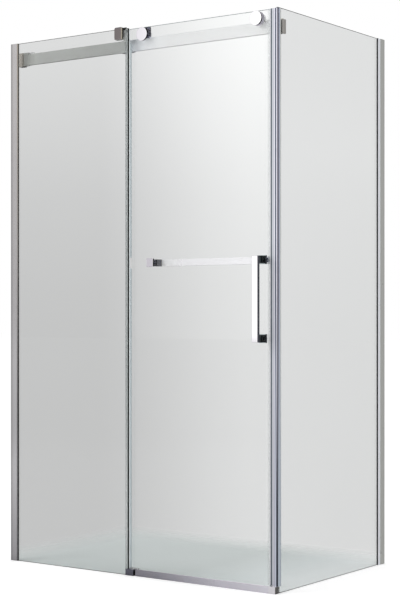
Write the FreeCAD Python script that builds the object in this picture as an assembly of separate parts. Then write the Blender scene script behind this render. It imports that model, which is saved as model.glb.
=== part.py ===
import FreeCAD, Part
import os

os.makedirs("parts", exist_ok=True)

# Shower enclosure with a sliding door. All sizes are millimetres.
# Build frame: X runs along the front from the left wall, Y runs into the shower from the
# outer face of the fixed pane, Z runs up from the floor. save() moves the finished pieces so
# that the origin lies at the middle of the footprint, on the floor.

V = FreeCAD.Vector
UP = V(0, 0, 1)
ALONG_X = V(1, 0, 0)
ALONG_Y = V(0, 1, 0)

# ---- Driving dimensions -------------------------------------------------------------------

# Overall
SIDE_DEPTH = 748.0          # outer face of the fixed pane to the wall behind
FRONT_HEIGHT = 1950.0       # top of the fixed pane and of the door
SIDE_RISE = 3.0             # top of the side pane above the others
GLASS = 8.0                 # thickness of every pane
ARRIS = 0.8                 # bevel along the glass edges

# Wall profiles: an outer channel on the wall and a glazing channel that slides in it
PROFILE_DEPTH = 20.0        # across the pane
WALL_CHANNEL_LENGTH = 30.0  # along the pane
WALL_INNER_SHORT = 4.0      # inner leg of the wall channel, shorter than the outer one
PROFILE_WALL = 1.6
PROFILE_WEB = 2.0
CHANNEL_SLIP = 0.2          # play between the two channels
GLAZING_LENGTH = 31.0       # glazing channel, along the pane
GLAZING_INNER_SHORT = 10.0  # inner leg of the glazing channel, shorter than the outer one
GLAZING_START_LEFT = 2.5    # wall to the glazing channel, set by the width of the opening
GLAZING_START_RIGHT = 16.0
GASKET_WEB = 2.4            # rubber between the channel and the glass edge
GASKET_LIP = 0.6            # rubber that shows past the channel
LOCK_SCREW_POSITION = 20.5  # wall to the screws that lock the two channels
LOCK_SCREW_RADIUS = 2.0
LOCK_HEAD_RADIUS = 3.6
LOCK_HEAD_HEIGHT = 2.2
LOCK_CAP_WALL = 0.9
LOCK_CAP_PLAY = 0.4
LOCK_END_DISTANCE = 150.0   # floor or top to the nearest lock screw
WALL_HOLE_RADIUS = 2.75
WALL_HOLE_END = 250.0       # floor or top to the outer wall hole of a pair
WALL_HOLE_SPACING = 500.0   # between the two holes of a pair

# Fixed pane and door
FIXED_EDGE = 558.0          # left wall to the free edge of the fixed pane
DOOR_GAP = 12.0             # fixed pane to door, face to face
DOOR_OVERLAP = 24.5         # door behind the fixed pane when closed
DOOR_WIDTH = 614.5
DOOR_FLOOR_GAP = 12.0
CLOSING_GAP = 24.0          # closed door to the side pane, filled by the two magnetic seals
OPEN_EDGE = 8.5             # left wall to the door when open
FINGER_GAP = 23.0           # fixed pane to the handle when open

# Rail
RAIL_THICKNESS = 10.0
RAIL_HEIGHT = 42.0
RAIL_STANDOFF = 17.0        # inner face of the door to the rail
RAIL_EDGE_BEVEL = 0.6
RAIL_LEFT_GAP = 8.0         # wall to the end of the rail
BRACKET_LENGTH = 22.0       # wall bracket, along the rail
BRACKET_BACK = 4.0          # metal against the wall
BRACKET_HOLE_SPACING = 26.0
BRACKET_WALL = 7.5          # metal around the rail, in Y
BRACKET_BELOW = 3.5         # metal below the rail
BRACKET_ABOVE = 5.5
GRUB_RADIUS = 2.0

# Rail stops
STOP_GAP = 0.5              # stop to the bracket or socket behind it
STOP_WALL = 1.4
PIN_LENGTH = 8.0
BUFFER_LENGTH = 22.5
BUFFER_HEIGHT = 6.0
BUFFER_OVERHANG = 1.5       # rubber past each side of the rail, where the flanges meet it
STOP_CLEARANCE = 1.0        # wheel flange to buffer at each end of the stroke

# Clamp that joins the free top corner of the fixed pane to the rail
CLAMP_WIDTH = 36.0
CLAMP_HEIGHT = 44.5
CLAMP_THICKNESS = 9.0
CLAMP_EDGE_DISTANCE = 20.5  # clamp to the free edge of the fixed pane
CLAMP_CORNER = 7.0
CLAMP_BEVEL = 1.2
CLAMP_FRONT_BEVEL = 3.0     # wider bevel around the front of the clamp block
CLAMP_RISE = 5.5            # clamp top above the glass
PAD = 1.0                   # rubber between metal and glass
CLAMP_PLATE = 3.5           # inner plate of the arm
CLAMP_PLATE_PAST = 5.5      # inner plate past the right side of the clamp
CLAMP_TAB_BELOW = 7.0       # tab of the inner plate past the bottom of the clamp
CLAMP_TAB_WIDTH = 10.0
ARM_WIDTH = 16.0
ARM_THICKNESS = 3.5
ARM_LEG_GAP = 8.0           # back of the rail to the leg
SADDLE_LENGTH = 52.0
SADDLE_OVERHANG = 8.0       # saddle past the left side of the clamp
SADDLE_LIP = 1.5            # lip in front of the rail
SADDLE_LIP_HEIGHT = 24.0
SADDLE_FLOOR = 1.5
SADDLE_TOP_GAP = 12.0       # top of the rail to the top of the saddle's back
CLAMP_BOLT_RADIUS = 3.0
CLAMP_BOLT_HEAD = 5.5
SADDLE_SCREW_RADIUS = 2.0
GLASS_HOLE = 7.0            # radius of every hole in the glass
HOLE_FIT = 0.1              # play of bushes and bolts, on the radius

# Side clamp at the right end of the rail
SIDE_PLATE = 5.0
SIDE_CLAMP_MARGIN = 5.0     # plate past the rail, in Y
SIDE_CLAMP_BELOW = 5.5      # plate past the rail, in Z
SIDE_CLAMP_ABOVE = 1.5
SOCKET_LENGTH = 15.0
SOCKET_WALL = 5.0           # metal around the rail, in Y
SOCKET_BACK = 4.0

# Seal on the free edge of the fixed pane
SEAL_WALL = 1.2
EDGE_SEAL_LEG = 14.0
EDGE_SEAL_FIN = 5.0         # width of the fin along the pane
EDGE_SEAL_PAST = 2.0        # seal past the edge of the pane
EDGE_SEAL_GAP = 0.4         # fin to door
SEAL_NOTCH = 4.0            # room above and below a cap that passes the seal

# Magnetic seals between door and side pane
SIDE_EDGE = 18.5            # front edge of the side pane, from the fixed pane's outer face
SIDE_SEAL_LEG = 17.0
DOOR_SEAL_LEG = 9.0
SEAL_RISE = 1.0             # top of both seals above the door
MAGNET_THICKNESS = 4.6
MAGNET_WIDTH = 7.6
SIDE_NOSE = 10.8            # side seal towards the door
SEAL_MEETING_GAP = 0.4

# Bottom pieces
GUIDE_BEFORE_EDGE = 8.0     # guide block, left of the fixed pane's edge
GUIDE_AFTER_EDGE = 27.5
GUIDE_FRONT = 4.0           # in front of the fixed pane
GUIDE_HEIGHT = 23.0
GUIDE_BACK_WALL = 4.6
GUIDE_LINER = 1.0
GUIDE_PLAY = 0.4            # liner to door, each side
GUIDE_SLOT_FLOOR = 6.0
GUIDE_HOLE_RADIUS = 2.2
GUIDE_HOLE_SPACING = 12.0
THRESHOLD_START = 6.0       # guide block to threshold
THRESHOLD_HEIGHT = 24.0
THRESHOLD_UPSTAND = 6.0
THRESHOLD_BASE = 3.5
BLADE_THICKNESS = 1.6
BLADE_HEIGHT = 15.0
BLADE_GAP = 0.4
BLADE_ROOT = 2.0
CAP_WIDTH = 26.0            # corner cap along the front
CAP_DEPTH = 33.0
CAP_HEIGHT = 23.5
CAP_BEVEL = 1.0

# Rollers
ROLLER_FROM_LEFT = 75.0     # door edge to the left roller
ROLLER_FROM_RIGHT = 55.0
ROLLER_DROP = 24.5          # top of the door to the middle of the roller holes
ECCENTRIC = 2.2             # wheel axis above the hole, for setting the height of the door
ROLLER_CAP_RADIUS = 24.3
ROLLER_CAP_THICKNESS = 6.0
ROLLER_CAP_ROUND = 1.0
DOOR_PAD = 0.5              # rubber between fittings and door glass
HUB_RADIUS = 24.0
HUB_THICKNESS = 8.0
CARRIER_WIDTH = 46.0        # squared inner plate of the left roller
CARRIER_HEIGHT = 40.0
CARRIER_SHIFT = 5.3         # middle of the plate to the right of the roller
CARRIER_RISE = 5.5          # middle of the plate above the roller
CARRIER_CORNER = 5.0
ROLLING_RADIUS = 12.2       # axle to the top of the rail
WHEEL_GAP = 0.3             # tread to rail
FLANGE_OVERLAP = 4.0        # flange below the top of the rail
FLANGE_THICKNESS = 3.0
FLANGE_GAP = 0.5            # flange to the side of the rail
BEARING_WALL = 1.8
AXLE_RADIUS = 4.5
AXLE_FIT = 0.05
SHOULDER_RADIUS = 7.0
SIDE_RUNNING_GAP = 0.3
END_WASHER_RADIUS = 7.5
END_WASHER = 1.2
END_HEAD_RADIUS = 5.0
END_HEAD = 2.2
END_SCREW_RADIUS = 2.0
END_SCREW_LENGTH = 8.0
BOLT_RADIUS = 3.0

# Pull handle outside, towel rail inside
HANDLE_FROM_RIGHT = 26.0    # door edge to the middle of the handle
BAR_WIDTH = 24.0
BAR_THICKNESS = 12.0
POST_HEIGHT = 25.0
BAR_ROUND = 1.6
HANDLE_CENTRES = 264.0
HANDLE_PROJECTION = 56.0    # door face to the front of the handle
HANDLE_TOP_FIXING = 1112.5
ROSE_WIDTH = 28.0
ROSE_HEIGHT = 30.0
ROSE_THICKNESS = 8.5
TOWEL_FROM_LEFT = 112.9     # door edge to the left end fixing of the towel rail
TOWEL_PROJECTION = 55.0     # inner face of the door to the back of the bar
NECK_RADIUS = 8.9
NECK_LENGTH = 18.5
BUTTON_RADIUS = 9.0
BUTTON_THICKNESS = 4.0
THREAD_DEPTH = 12.0         # bolt inside a post
WASHER_RADIUS = 8.6
ROLLER_WASHER_RADIUS = 19.0

# ---- Places worked out from the driving dimensions ---------------------------------------

PANE_MIDDLE = GLASS / 2
PROFILE_HALF = PROFILE_DEPTH / 2
GLASS_INSET = PROFILE_WALL + GASKET_WEB
GLASS_START = GLAZING_START_LEFT + GLASS_INSET
SIDE_GLASS_END = SIDE_DEPTH - GLAZING_START_RIGHT - GLASS_INSET
DOOR_FRONT = GLASS + DOOR_GAP
DOOR_BACK = DOOR_FRONT + GLASS
DOOR_LEFT = FIXED_EDGE - DOOR_OVERLAP
DOOR_RIGHT = DOOR_LEFT + DOOR_WIDTH
SIDE_INNER = DOOR_RIGHT + CLOSING_GAP
FRONT_WIDTH = SIDE_INNER + GLASS
SIDE_MIDDLE = FRONT_WIDTH - GLASS / 2
SIDE_HEIGHT = FRONT_HEIGHT + SIDE_RISE
SEAL_TOP = FRONT_HEIGHT + SEAL_RISE

RAIL_FRONT = DOOR_BACK + RAIL_STANDOFF
RAIL_BACK = RAIL_FRONT + RAIL_THICKNESS
RAIL_MIDDLE = (RAIL_FRONT + RAIL_BACK) / 2
ROLLER_HEIGHT = FRONT_HEIGHT - ROLLER_DROP
AXLE_HEIGHT = ROLLER_HEIGHT + ECCENTRIC
RAIL_TOP = AXLE_HEIGHT - ROLLING_RADIUS
RAIL_BOTTOM = RAIL_TOP - RAIL_HEIGHT
RAIL_CENTRE = (RAIL_TOP + RAIL_BOTTOM) / 2
SOCKET_RIGHT = SIDE_INNER - PAD
SOCKET_LEFT = SOCKET_RIGHT - SOCKET_LENGTH
RAIL_RIGHT = SOCKET_RIGHT - SOCKET_BACK

ROLLER_LEFT = DOOR_LEFT + ROLLER_FROM_LEFT
ROLLER_RIGHT = DOOR_RIGHT - ROLLER_FROM_RIGHT
FLANGE_RADIUS = ROLLING_RADIUS + FLANGE_OVERLAP
TREAD_RADIUS = ROLLING_RADIUS - WHEEL_GAP
TREAD_FRONT = RAIL_FRONT - FLANGE_GAP
TREAD_BACK = RAIL_BACK + FLANGE_GAP
WHEEL_FRONT = TREAD_FRONT - FLANGE_THICKNESS
WHEEL_BACK = TREAD_BACK + FLANGE_THICKNESS
BEARING_BORE = AXLE_RADIUS + AXLE_FIT
BEARING_RADIUS = AXLE_RADIUS + BEARING_WALL

CLAMP_RIGHT = FIXED_EDGE - CLAMP_EDGE_DISTANCE
CLAMP_LEFT = CLAMP_RIGHT - CLAMP_WIDTH
CLAMP_MIDDLE = (CLAMP_LEFT + CLAMP_RIGHT) / 2
CLAMP_TOP = FRONT_HEIGHT + CLAMP_RISE
CLAMP_BOTTOM = CLAMP_TOP - CLAMP_HEIGHT
CLAMP_BOLT_HEIGHT = (FRONT_HEIGHT + CLAMP_BOTTOM) / 2
ARM_BOTTOM = CLAMP_TOP - ARM_THICKNESS
PLATE_FRONT = GLASS + PAD
PLATE_BACK = PLATE_FRONT + CLAMP_PLATE
SINK_FRONT = PLATE_BACK - CLAMP_PLATE * 0.6
LEG_FRONT = RAIL_BACK + ARM_LEG_GAP
LEG_BACK = LEG_FRONT + ARM_THICKNESS

HANDLE_X = DOOR_RIGHT - HANDLE_FROM_RIGHT
HANDLE_LEFT = HANDLE_X - BAR_WIDTH / 2
DOOR_TRAVEL = min(DOOR_LEFT - OPEN_EDGE, HANDLE_LEFT - FIXED_EDGE - FINGER_GAP)
HANDLE_FRONT = DOOR_FRONT - HANDLE_PROJECTION
HANDLE_BOTTOM_FIXING = HANDLE_TOP_FIXING - HANDLE_CENTRES
ROSE_BACK = DOOR_FRONT - DOOR_PAD
ROSE_FRONT = ROSE_BACK - ROSE_THICKNESS
ROSE_MIDDLE = (ROSE_FRONT + ROSE_BACK) / 2
TOWEL_X = DOOR_LEFT + TOWEL_FROM_LEFT
NECK_FRONT = DOOR_BACK + DOOR_PAD
NECK_BACK = NECK_FRONT + NECK_LENGTH
TOWEL_BACK = DOOR_BACK + TOWEL_PROJECTION
BUTTON_BACK = NECK_FRONT + BUTTON_THICKNESS
THREAD_RADIUS = BOLT_RADIUS + HOLE_FIT

# Middle of the footprint: from the wall to the outside of the right profile, and from the
# front of the handle to the wall behind
ORIGIN = V((SIDE_MIDDLE + PROFILE_HALF) / 2, (HANDLE_FRONT + SIDE_DEPTH) / 2, 0)


# ---- Helpers ------------------------------------------------------------------------------

def box(x0, x1, y0, y1, z0, z1):
    return Part.makeBox(x1 - x0, y1 - y0, z1 - z0, V(x0, y0, z0))


def rod(radius, start, end):
    """Cylinder between two points."""
    path = end.sub(start)
    return Part.makeCylinder(radius, path.Length, start, path)


def rod_y(radius, x, z, y0, y1):
    return rod(radius, V(x, y0, z), V(x, y1, z))


def ring_y(outer, inner, x, z, y0, y1):
    return rod_y(outer, x, z, y0, y1).cut(rod_y(inner, x, z, y0, y1))


def rod_x(radius, y, z, x0, x1):
    return rod(radius, V(x0, y, z), V(x1, y, z))


def edges_along(shape, direction):
    """The straight edges of a shape that run along a direction."""
    found = []
    for edge in shape.Edges:
        if not isinstance(edge.Curve, (Part.Line, Part.LineSegment)):
            continue
        run = edge.Vertexes[-1].Point.sub(edge.Vertexes[0].Point).normalize()
        if abs(run.dot(direction)) > 0.999:
            found.append(edge)
    return found


def edges_at(shape, axis, value):
    """The edges of a shape that lie in the plane where x, y or z has a value."""
    low = {"x": "XMin", "y": "YMin", "z": "ZMin"}[axis]
    high = {"x": "XMax", "y": "YMax", "z": "ZMax"}[axis]
    found = []
    for edge in shape.Edges:
        bounds = edge.BoundBox
        if abs(getattr(bounds, low) - value) < 1e-4 and abs(getattr(bounds, high) - value) < 1e-4:
            found.append(edge)
    return found


def rounded_box(x0, x1, y0, y1, z0, z1, direction, radius):
    """Box with its four edges along one direction rounded."""
    block = box(x0, x1, y0, y1, z0, z1)
    return block.makeFillet(radius, edges_along(block, direction))


def pane(x0, x1, y0, y1, z0, z1):
    """Glass pane with a small bevel on every edge."""
    sheet = box(x0, x1, y0, y1, z0, z1)
    return sheet.makeChamfer(ARRIS, sheet.Edges)


def group(shapes):
    return Part.makeCompound(shapes)


def save(name, shape):
    moved = shape.copy()
    moved.translate(ORIGIN.negative())
    moved.exportStep("parts/" + name + ".step")


# ---- Wall profiles ------------------------------------------------------------------------
# Each profile is drawn for the fixed pane, with "along" running from the wall along X and
# "across" running through the pane along Y. on_side() turns a piece to the side pane.

def on_side(shape):
    turned = shape.mirror(V(0, 0, 0), V(1, 1, 0))
    turned.translate(V(FRONT_WIDTH, SIDE_DEPTH, 0))
    return turned


def channel(start, end, inner_end, half_width, web, wall, height):
    """U channel that opens away from the wall, with a shorter leg on the inside."""
    outside = box(start, end, PANE_MIDDLE - half_width, PANE_MIDDLE + half_width, 0, height)
    inside_half = half_width - wall
    inside = box(start + web, end, PANE_MIDDLE - inside_half, PANE_MIDDLE + inside_half, 0, height)
    past_leg = box(inner_end, end, PANE_MIDDLE + inside_half, PANE_MIDDLE + half_width, 0, height)
    return outside.cut(inside).cut(past_leg)


def glazing_half():
    return PROFILE_HALF - PROFILE_WALL - CHANNEL_SLIP


def lock_heights(height):
    return [LOCK_END_DISTANCE, height / 2, height - LOCK_END_DISTANCE]


def wall_hole_heights(height):
    low = [WALL_HOLE_END, WALL_HOLE_END + WALL_HOLE_SPACING]
    high = [height - WALL_HOLE_END - WALL_HOLE_SPACING, height - WALL_HOLE_END]
    return low + high


def lock_holes(height):
    """Cutters for the lock screws, through the inner legs of both channels."""
    inner_leg = PANE_MIDDLE + glazing_half() - PROFILE_WALL
    outer_face = PANE_MIDDLE + PROFILE_HALF
    radius = LOCK_SCREW_RADIUS + HOLE_FIT
    return group([rod_y(radius, LOCK_SCREW_POSITION, z, inner_leg, outer_face)
                  for z in lock_heights(height)])


def wall_channel(height):
    shape = channel(0, WALL_CHANNEL_LENGTH, WALL_CHANNEL_LENGTH - WALL_INNER_SHORT,
                    PROFILE_HALF, PROFILE_WEB, PROFILE_WALL, height)
    for z in wall_hole_heights(height):
        shape = shape.cut(rod_x(WALL_HOLE_RADIUS, PANE_MIDDLE, z, 0, PROFILE_WEB))
    return shape.cut(lock_holes(height))


def glazing_channel(start, height):
    end = start + GLAZING_LENGTH
    shape = channel(start, end, end - GLAZING_INNER_SHORT, glazing_half(), PROFILE_WALL, PROFILE_WALL, height)
    return shape.cut(lock_holes(height))


def glazing_gasket(start, height):
    """Rubber channel around the glass edge, with a lip past the metal on both sides."""
    half = glazing_half() - PROFILE_WALL
    end = start + GLAZING_LENGTH + GASKET_LIP
    outside = box(start + PROFILE_WALL, end, PANE_MIDDLE - half, PANE_MIDDLE + half, 0, height)
    glass = box(start + GLASS_INSET, end, 0, GLASS, 0, height)
    past_leg = box(end - GLAZING_INNER_SHORT, end, GLASS, PANE_MIDDLE + half, 0, height)
    return outside.cut(glass).cut(past_leg)


def lock_screws(height):
    tip = PANE_MIDDLE + glazing_half() - PROFILE_WALL
    face = PANE_MIDDLE + PROFILE_HALF
    screws = []
    for z in lock_heights(height):
        shank = rod_y(LOCK_SCREW_RADIUS, LOCK_SCREW_POSITION, z, tip, face)
        head = rod_y(LOCK_HEAD_RADIUS, LOCK_SCREW_POSITION, z, face, face + LOCK_HEAD_HEIGHT)
        screws.append(shank.fuse(head).removeSplitter())
    return screws


def lock_caps(height):
    face = PANE_MIDDLE + PROFILE_HALF
    inner_radius = LOCK_HEAD_RADIUS + LOCK_CAP_PLAY
    hollow = LOCK_HEAD_HEIGHT + LOCK_CAP_PLAY
    caps = []
    for z in lock_heights(height):
        outside = rod_y(inner_radius + LOCK_CAP_WALL, LOCK_SCREW_POSITION, z,
                        face, face + hollow + LOCK_CAP_WALL)
        outside = outside.makeFillet(LOCK_CAP_WALL / 2, edges_at(outside, "y", outside.BoundBox.YMax))
        caps.append(outside.cut(rod_y(inner_radius, LOCK_SCREW_POSITION, z, face, face + hollow)))
    return caps


def save_profiles():
    save("wall_profile_left", wall_channel(FRONT_HEIGHT))
    save("wall_profile_right", on_side(wall_channel(SIDE_HEIGHT)))
    save("glazing_channel_left", glazing_channel(GLAZING_START_LEFT, FRONT_HEIGHT))
    save("glazing_channel_right", on_side(glazing_channel(GLAZING_START_RIGHT, SIDE_HEIGHT)))
    save("glazing_gasket_left", glazing_gasket(GLAZING_START_LEFT, FRONT_HEIGHT))
    save("glazing_gasket_right", on_side(glazing_gasket(GLAZING_START_RIGHT, SIDE_HEIGHT)))
    right_screws = [on_side(screw) for screw in lock_screws(SIDE_HEIGHT)]
    save("profile_lock_screws", group(lock_screws(FRONT_HEIGHT) + right_screws))
    right_caps = [on_side(cap) for cap in lock_caps(SIDE_HEIGHT)]
    save("profile_screw_caps", group(lock_caps(FRONT_HEIGHT) + right_caps))


# ---- Fixed glass --------------------------------------------------------------------------

def save_fixed_glass():
    front = pane(GLASS_START, FIXED_EDGE, 0, GLASS, 0, FRONT_HEIGHT)
    save("fixed_pane", front.cut(rod_y(GLASS_HOLE, CLAMP_MIDDLE, CLAMP_BOLT_HEIGHT, 0, GLASS)))
    side = pane(SIDE_INNER, FRONT_WIDTH, SIDE_EDGE, SIDE_GLASS_END, 0, SIDE_HEIGHT)
    save("side_pane", side.cut(rod_x(GLASS_HOLE, RAIL_MIDDLE, RAIL_CENTRE, SIDE_INNER, FRONT_WIDTH)))
    bush = GLASS_HOLE - HOLE_FIT
    bore = CLAMP_BOLT_RADIUS + HOLE_FIT
    front_bush = ring_y(bush, bore, CLAMP_MIDDLE, CLAMP_BOLT_HEIGHT, 0, GLASS)
    side_bush = rod_x(bush, RAIL_MIDDLE, RAIL_CENTRE, SIDE_INNER, FRONT_WIDTH)
    side_bush = side_bush.cut(rod_x(bore, RAIL_MIDDLE, RAIL_CENTRE, SIDE_INNER, FRONT_WIDTH))
    save("pane_bushes", group([front_bush, side_bush]))


# ---- Rail, its brackets and stops ---------------------------------------------------------

def grub(radius, x):
    """Upright rod through the metal under the rail."""
    return rod(radius, V(x, RAIL_MIDDLE, RAIL_BOTTOM - BRACKET_BELOW), V(x, RAIL_MIDDLE, RAIL_BOTTOM))


def rail_socket(x0, x1, wall, hollow_x0, hollow_x1, grub_x):
    """Block around one end of the rail, bored for its set screw."""
    block = box(x0, x1, RAIL_FRONT - wall, RAIL_BACK + wall,
                RAIL_BOTTOM - BRACKET_BELOW, RAIL_TOP + BRACKET_ABOVE)
    block = block.makeFillet(CLAMP_BEVEL, edges_along(block, ALONG_X))
    hollow = box(hollow_x0, hollow_x1, RAIL_FRONT, RAIL_BACK, RAIL_BOTTOM, RAIL_TOP)
    return block.cut(hollow).cut(grub(GRUB_RADIUS + HOLE_FIT, grub_x))


def buffer_pin(x0, x1):
    return rod_x(BUFFER_HEIGHT / 4, RAIL_MIDDLE, RAIL_TOP + BUFFER_HEIGHT / 2, x0, x1)


def rail_stop(x0, x1, pin_x0, pin_x1):
    """Clip around the rail with a tooth that holds the rubber buffer."""
    clip = box(x0, x1, RAIL_FRONT - STOP_WALL, RAIL_BACK + STOP_WALL,
               RAIL_BOTTOM - STOP_WALL, RAIL_TOP + STOP_WALL)
    tooth = box(x0, x1, RAIL_FRONT - STOP_WALL, RAIL_BACK + STOP_WALL, RAIL_TOP, RAIL_TOP + BUFFER_HEIGHT)
    rail = box(x0, x1, RAIL_FRONT, RAIL_BACK, RAIL_BOTTOM, RAIL_TOP)
    return clip.fuse(tooth).removeSplitter().cut(rail).cut(buffer_pin(pin_x0, pin_x1))


def stop_buffer(x0, x1, pin_x0, pin_x1):
    """Rubber block on the rail, with a pin in the stop."""
    body = box(x0, x1, RAIL_FRONT - BUFFER_OVERHANG, RAIL_BACK + BUFFER_OVERHANG,
               RAIL_TOP, RAIL_TOP + BUFFER_HEIGHT)
    top = [edge for edge in edges_along(body, ALONG_X) if edge.BoundBox.ZMin > RAIL_TOP]
    body = body.makeFillet(BUFFER_HEIGHT / 4, top)
    return body.fuse(buffer_pin(pin_x0, pin_x1))


def buffer_contact():
    """Distance from the axle to the buffer when the flange is close to it."""
    rise = ROLLING_RADIUS - BUFFER_HEIGHT
    return (FLANGE_RADIUS ** 2 - rise ** 2) ** 0.5 + STOP_CLEARANCE


def save_rail():
    bar = box(RAIL_LEFT_GAP, RAIL_RIGHT, RAIL_FRONT, RAIL_BACK, RAIL_BOTTOM, RAIL_TOP)
    save("rail", bar.makeChamfer(RAIL_EDGE_BEVEL, edges_along(bar, ALONG_X)))

    left_grub = (RAIL_LEFT_GAP + BRACKET_LENGTH) / 2
    bracket = rail_socket(0, BRACKET_LENGTH, BRACKET_WALL, BRACKET_BACK, BRACKET_LENGTH, left_grub)
    for offset in (-BRACKET_HOLE_SPACING / 2, BRACKET_HOLE_SPACING / 2):
        bracket = bracket.cut(rod_x(WALL_HOLE_RADIUS, RAIL_MIDDLE, RAIL_CENTRE + offset, 0, BRACKET_BACK))
    save("rail_wall_bracket", bracket)
    right_grub = (SOCKET_LEFT + RAIL_RIGHT) / 2
    socket = rail_socket(SOCKET_LEFT, SOCKET_RIGHT, SOCKET_WALL, SOCKET_LEFT, RAIL_RIGHT, right_grub)
    bolt_hole = rod_x(CLAMP_BOLT_RADIUS + HOLE_FIT, RAIL_MIDDLE, RAIL_CENTRE, RAIL_RIGHT, SOCKET_RIGHT)
    head_room = rod_x(CLAMP_BOLT_HEAD + HOLE_FIT, RAIL_MIDDLE, RAIL_CENTRE,
                      RAIL_RIGHT, RAIL_RIGHT + SOCKET_BACK / 2)
    save("rail_side_socket", socket.cut(bolt_hole).cut(head_room))
    save("rail_grub_screws", group([grub(GRUB_RADIUS, left_grub), grub(GRUB_RADIUS, right_grub)]))

    open_end = ROLLER_LEFT - DOOR_TRAVEL - buffer_contact()
    left_joint = open_end - BUFFER_LENGTH
    left_pin = left_joint - PIN_LENGTH
    closed_end = ROLLER_RIGHT + buffer_contact()
    right_joint = closed_end + BUFFER_LENGTH
    right_pin = right_joint + PIN_LENGTH
    save("rail_stop_left", rail_stop(BRACKET_LENGTH + STOP_GAP, left_joint, left_pin, left_joint))
    save("rail_stop_right", rail_stop(right_joint, SOCKET_LEFT - STOP_GAP, right_joint, right_pin))
    save("stop_buffers", group([stop_buffer(left_joint, open_end, left_pin, left_joint),
                                stop_buffer(closed_end, right_joint, right_joint, right_pin)]))


def save_side_plate():
    """Plate outside the side pane, bolted to the socket inside."""
    inner = FRONT_WIDTH + PAD
    outer = inner + SIDE_PLATE
    plate = rounded_box(inner, outer, RAIL_FRONT - SIDE_CLAMP_MARGIN, RAIL_BACK + SIDE_CLAMP_MARGIN,
                        RAIL_BOTTOM - SIDE_CLAMP_BELOW, RAIL_TOP + SIDE_CLAMP_ABOVE,
                        ALONG_X, CLAMP_CORNER / 2)
    plate = plate.makeChamfer(CLAMP_BEVEL, edges_at(plate, "x", outer))
    thread = rod_x(CLAMP_BOLT_RADIUS + HOLE_FIT, RAIL_MIDDLE, RAIL_CENTRE, inner, outer - CLAMP_BEVEL)
    save("rail_side_plate", plate.cut(thread))


# ---- Clamp on the fixed pane, arm and saddle ----------------------------------------------

def clamp_block():
    """Rounded block outside the fixed pane, with a hook over its top edge."""
    block = rounded_box(CLAMP_LEFT, CLAMP_RIGHT, -PAD - CLAMP_THICKNESS, -PAD,
                        CLAMP_BOTTOM, CLAMP_TOP, ALONG_Y, CLAMP_CORNER)
    block = block.makeChamfer(CLAMP_FRONT_BEVEL, edges_at(block, "y", -PAD - CLAMP_THICKNESS))
    hook = box(CLAMP_LEFT + CLAMP_CORNER, CLAMP_RIGHT - CLAMP_CORNER, -PAD, PLATE_FRONT,
               ARM_BOTTOM, CLAMP_TOP)
    thread = rod_y(CLAMP_BOLT_RADIUS + HOLE_FIT, CLAMP_MIDDLE, CLAMP_BOLT_HEIGHT,
                   -PAD - CLAMP_THICKNESS + CLAMP_BEVEL, -PAD)
    return block.fuse(hook).removeSplitter().cut(thread)


def rail_arm():
    """Flat bar: plate behind the fixed pane, bridge over the door, leg behind the rail."""
    right = CLAMP_RIGHT + CLAMP_PLATE_PAST
    plate = box(CLAMP_LEFT, right, PLATE_FRONT, PLATE_BACK, CLAMP_BOTTOM, CLAMP_TOP)
    tab = box(right - CLAMP_TAB_WIDTH, right, PLATE_FRONT, PLATE_BACK,
              CLAMP_BOTTOM - CLAMP_TAB_BELOW, CLAMP_BOTTOM)
    bridge = box(CLAMP_LEFT, CLAMP_LEFT + ARM_WIDTH, PLATE_FRONT, LEG_BACK, ARM_BOTTOM, CLAMP_TOP)
    leg = box(CLAMP_LEFT, CLAMP_LEFT + ARM_WIDTH, LEG_FRONT, LEG_BACK,
              RAIL_BOTTOM - SADDLE_FLOOR, CLAMP_TOP)
    arm = plate.fuse([tab, bridge, leg]).removeSplitter()
    bolt = rod_y(CLAMP_BOLT_RADIUS + HOLE_FIT, CLAMP_MIDDLE, CLAMP_BOLT_HEIGHT, PLATE_FRONT, PLATE_BACK)
    sink = rod_y(CLAMP_BOLT_HEAD + HOLE_FIT, CLAMP_MIDDLE, CLAMP_BOLT_HEIGHT, SINK_FRONT, PLATE_BACK)
    arm = arm.cut(bolt).cut(sink)
    for z in saddle_screw_heights():
        hole = rod_y(SADDLE_SCREW_RADIUS + HOLE_FIT, CLAMP_LEFT + ARM_WIDTH / 2, z, LEG_FRONT, LEG_BACK)
        arm = arm.cut(hole)
    return arm


def saddle_screw_heights():
    saddle_top = RAIL_TOP - SADDLE_TOP_GAP
    third = (saddle_top - RAIL_BOTTOM) / 3
    return [RAIL_BOTTOM + third, RAIL_BOTTOM + 2 * third]


def rail_saddle():
    """Cradle around the lower part of the rail, open above for the wheels."""
    x0 = CLAMP_LEFT - SADDLE_OVERHANG
    x1 = x0 + SADDLE_LENGTH
    floor = box(x0, x1, RAIL_FRONT - SADDLE_LIP, LEG_FRONT, RAIL_BOTTOM - SADDLE_FLOOR, RAIL_BOTTOM)
    lip = box(x0, x1, RAIL_FRONT - SADDLE_LIP, RAIL_FRONT, RAIL_BOTTOM, RAIL_BOTTOM + SADDLE_LIP_HEIGHT)
    back = box(x0, x1, RAIL_BACK, LEG_FRONT, RAIL_BOTTOM, RAIL_TOP - SADDLE_TOP_GAP)
    saddle = floor.fuse([lip, back]).removeSplitter()
    for z in saddle_screw_heights():
        hole = rod_y(SADDLE_SCREW_RADIUS + HOLE_FIT, CLAMP_LEFT + ARM_WIDTH / 2, z, RAIL_BACK, LEG_FRONT)
        saddle = saddle.cut(hole)
    return saddle


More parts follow.
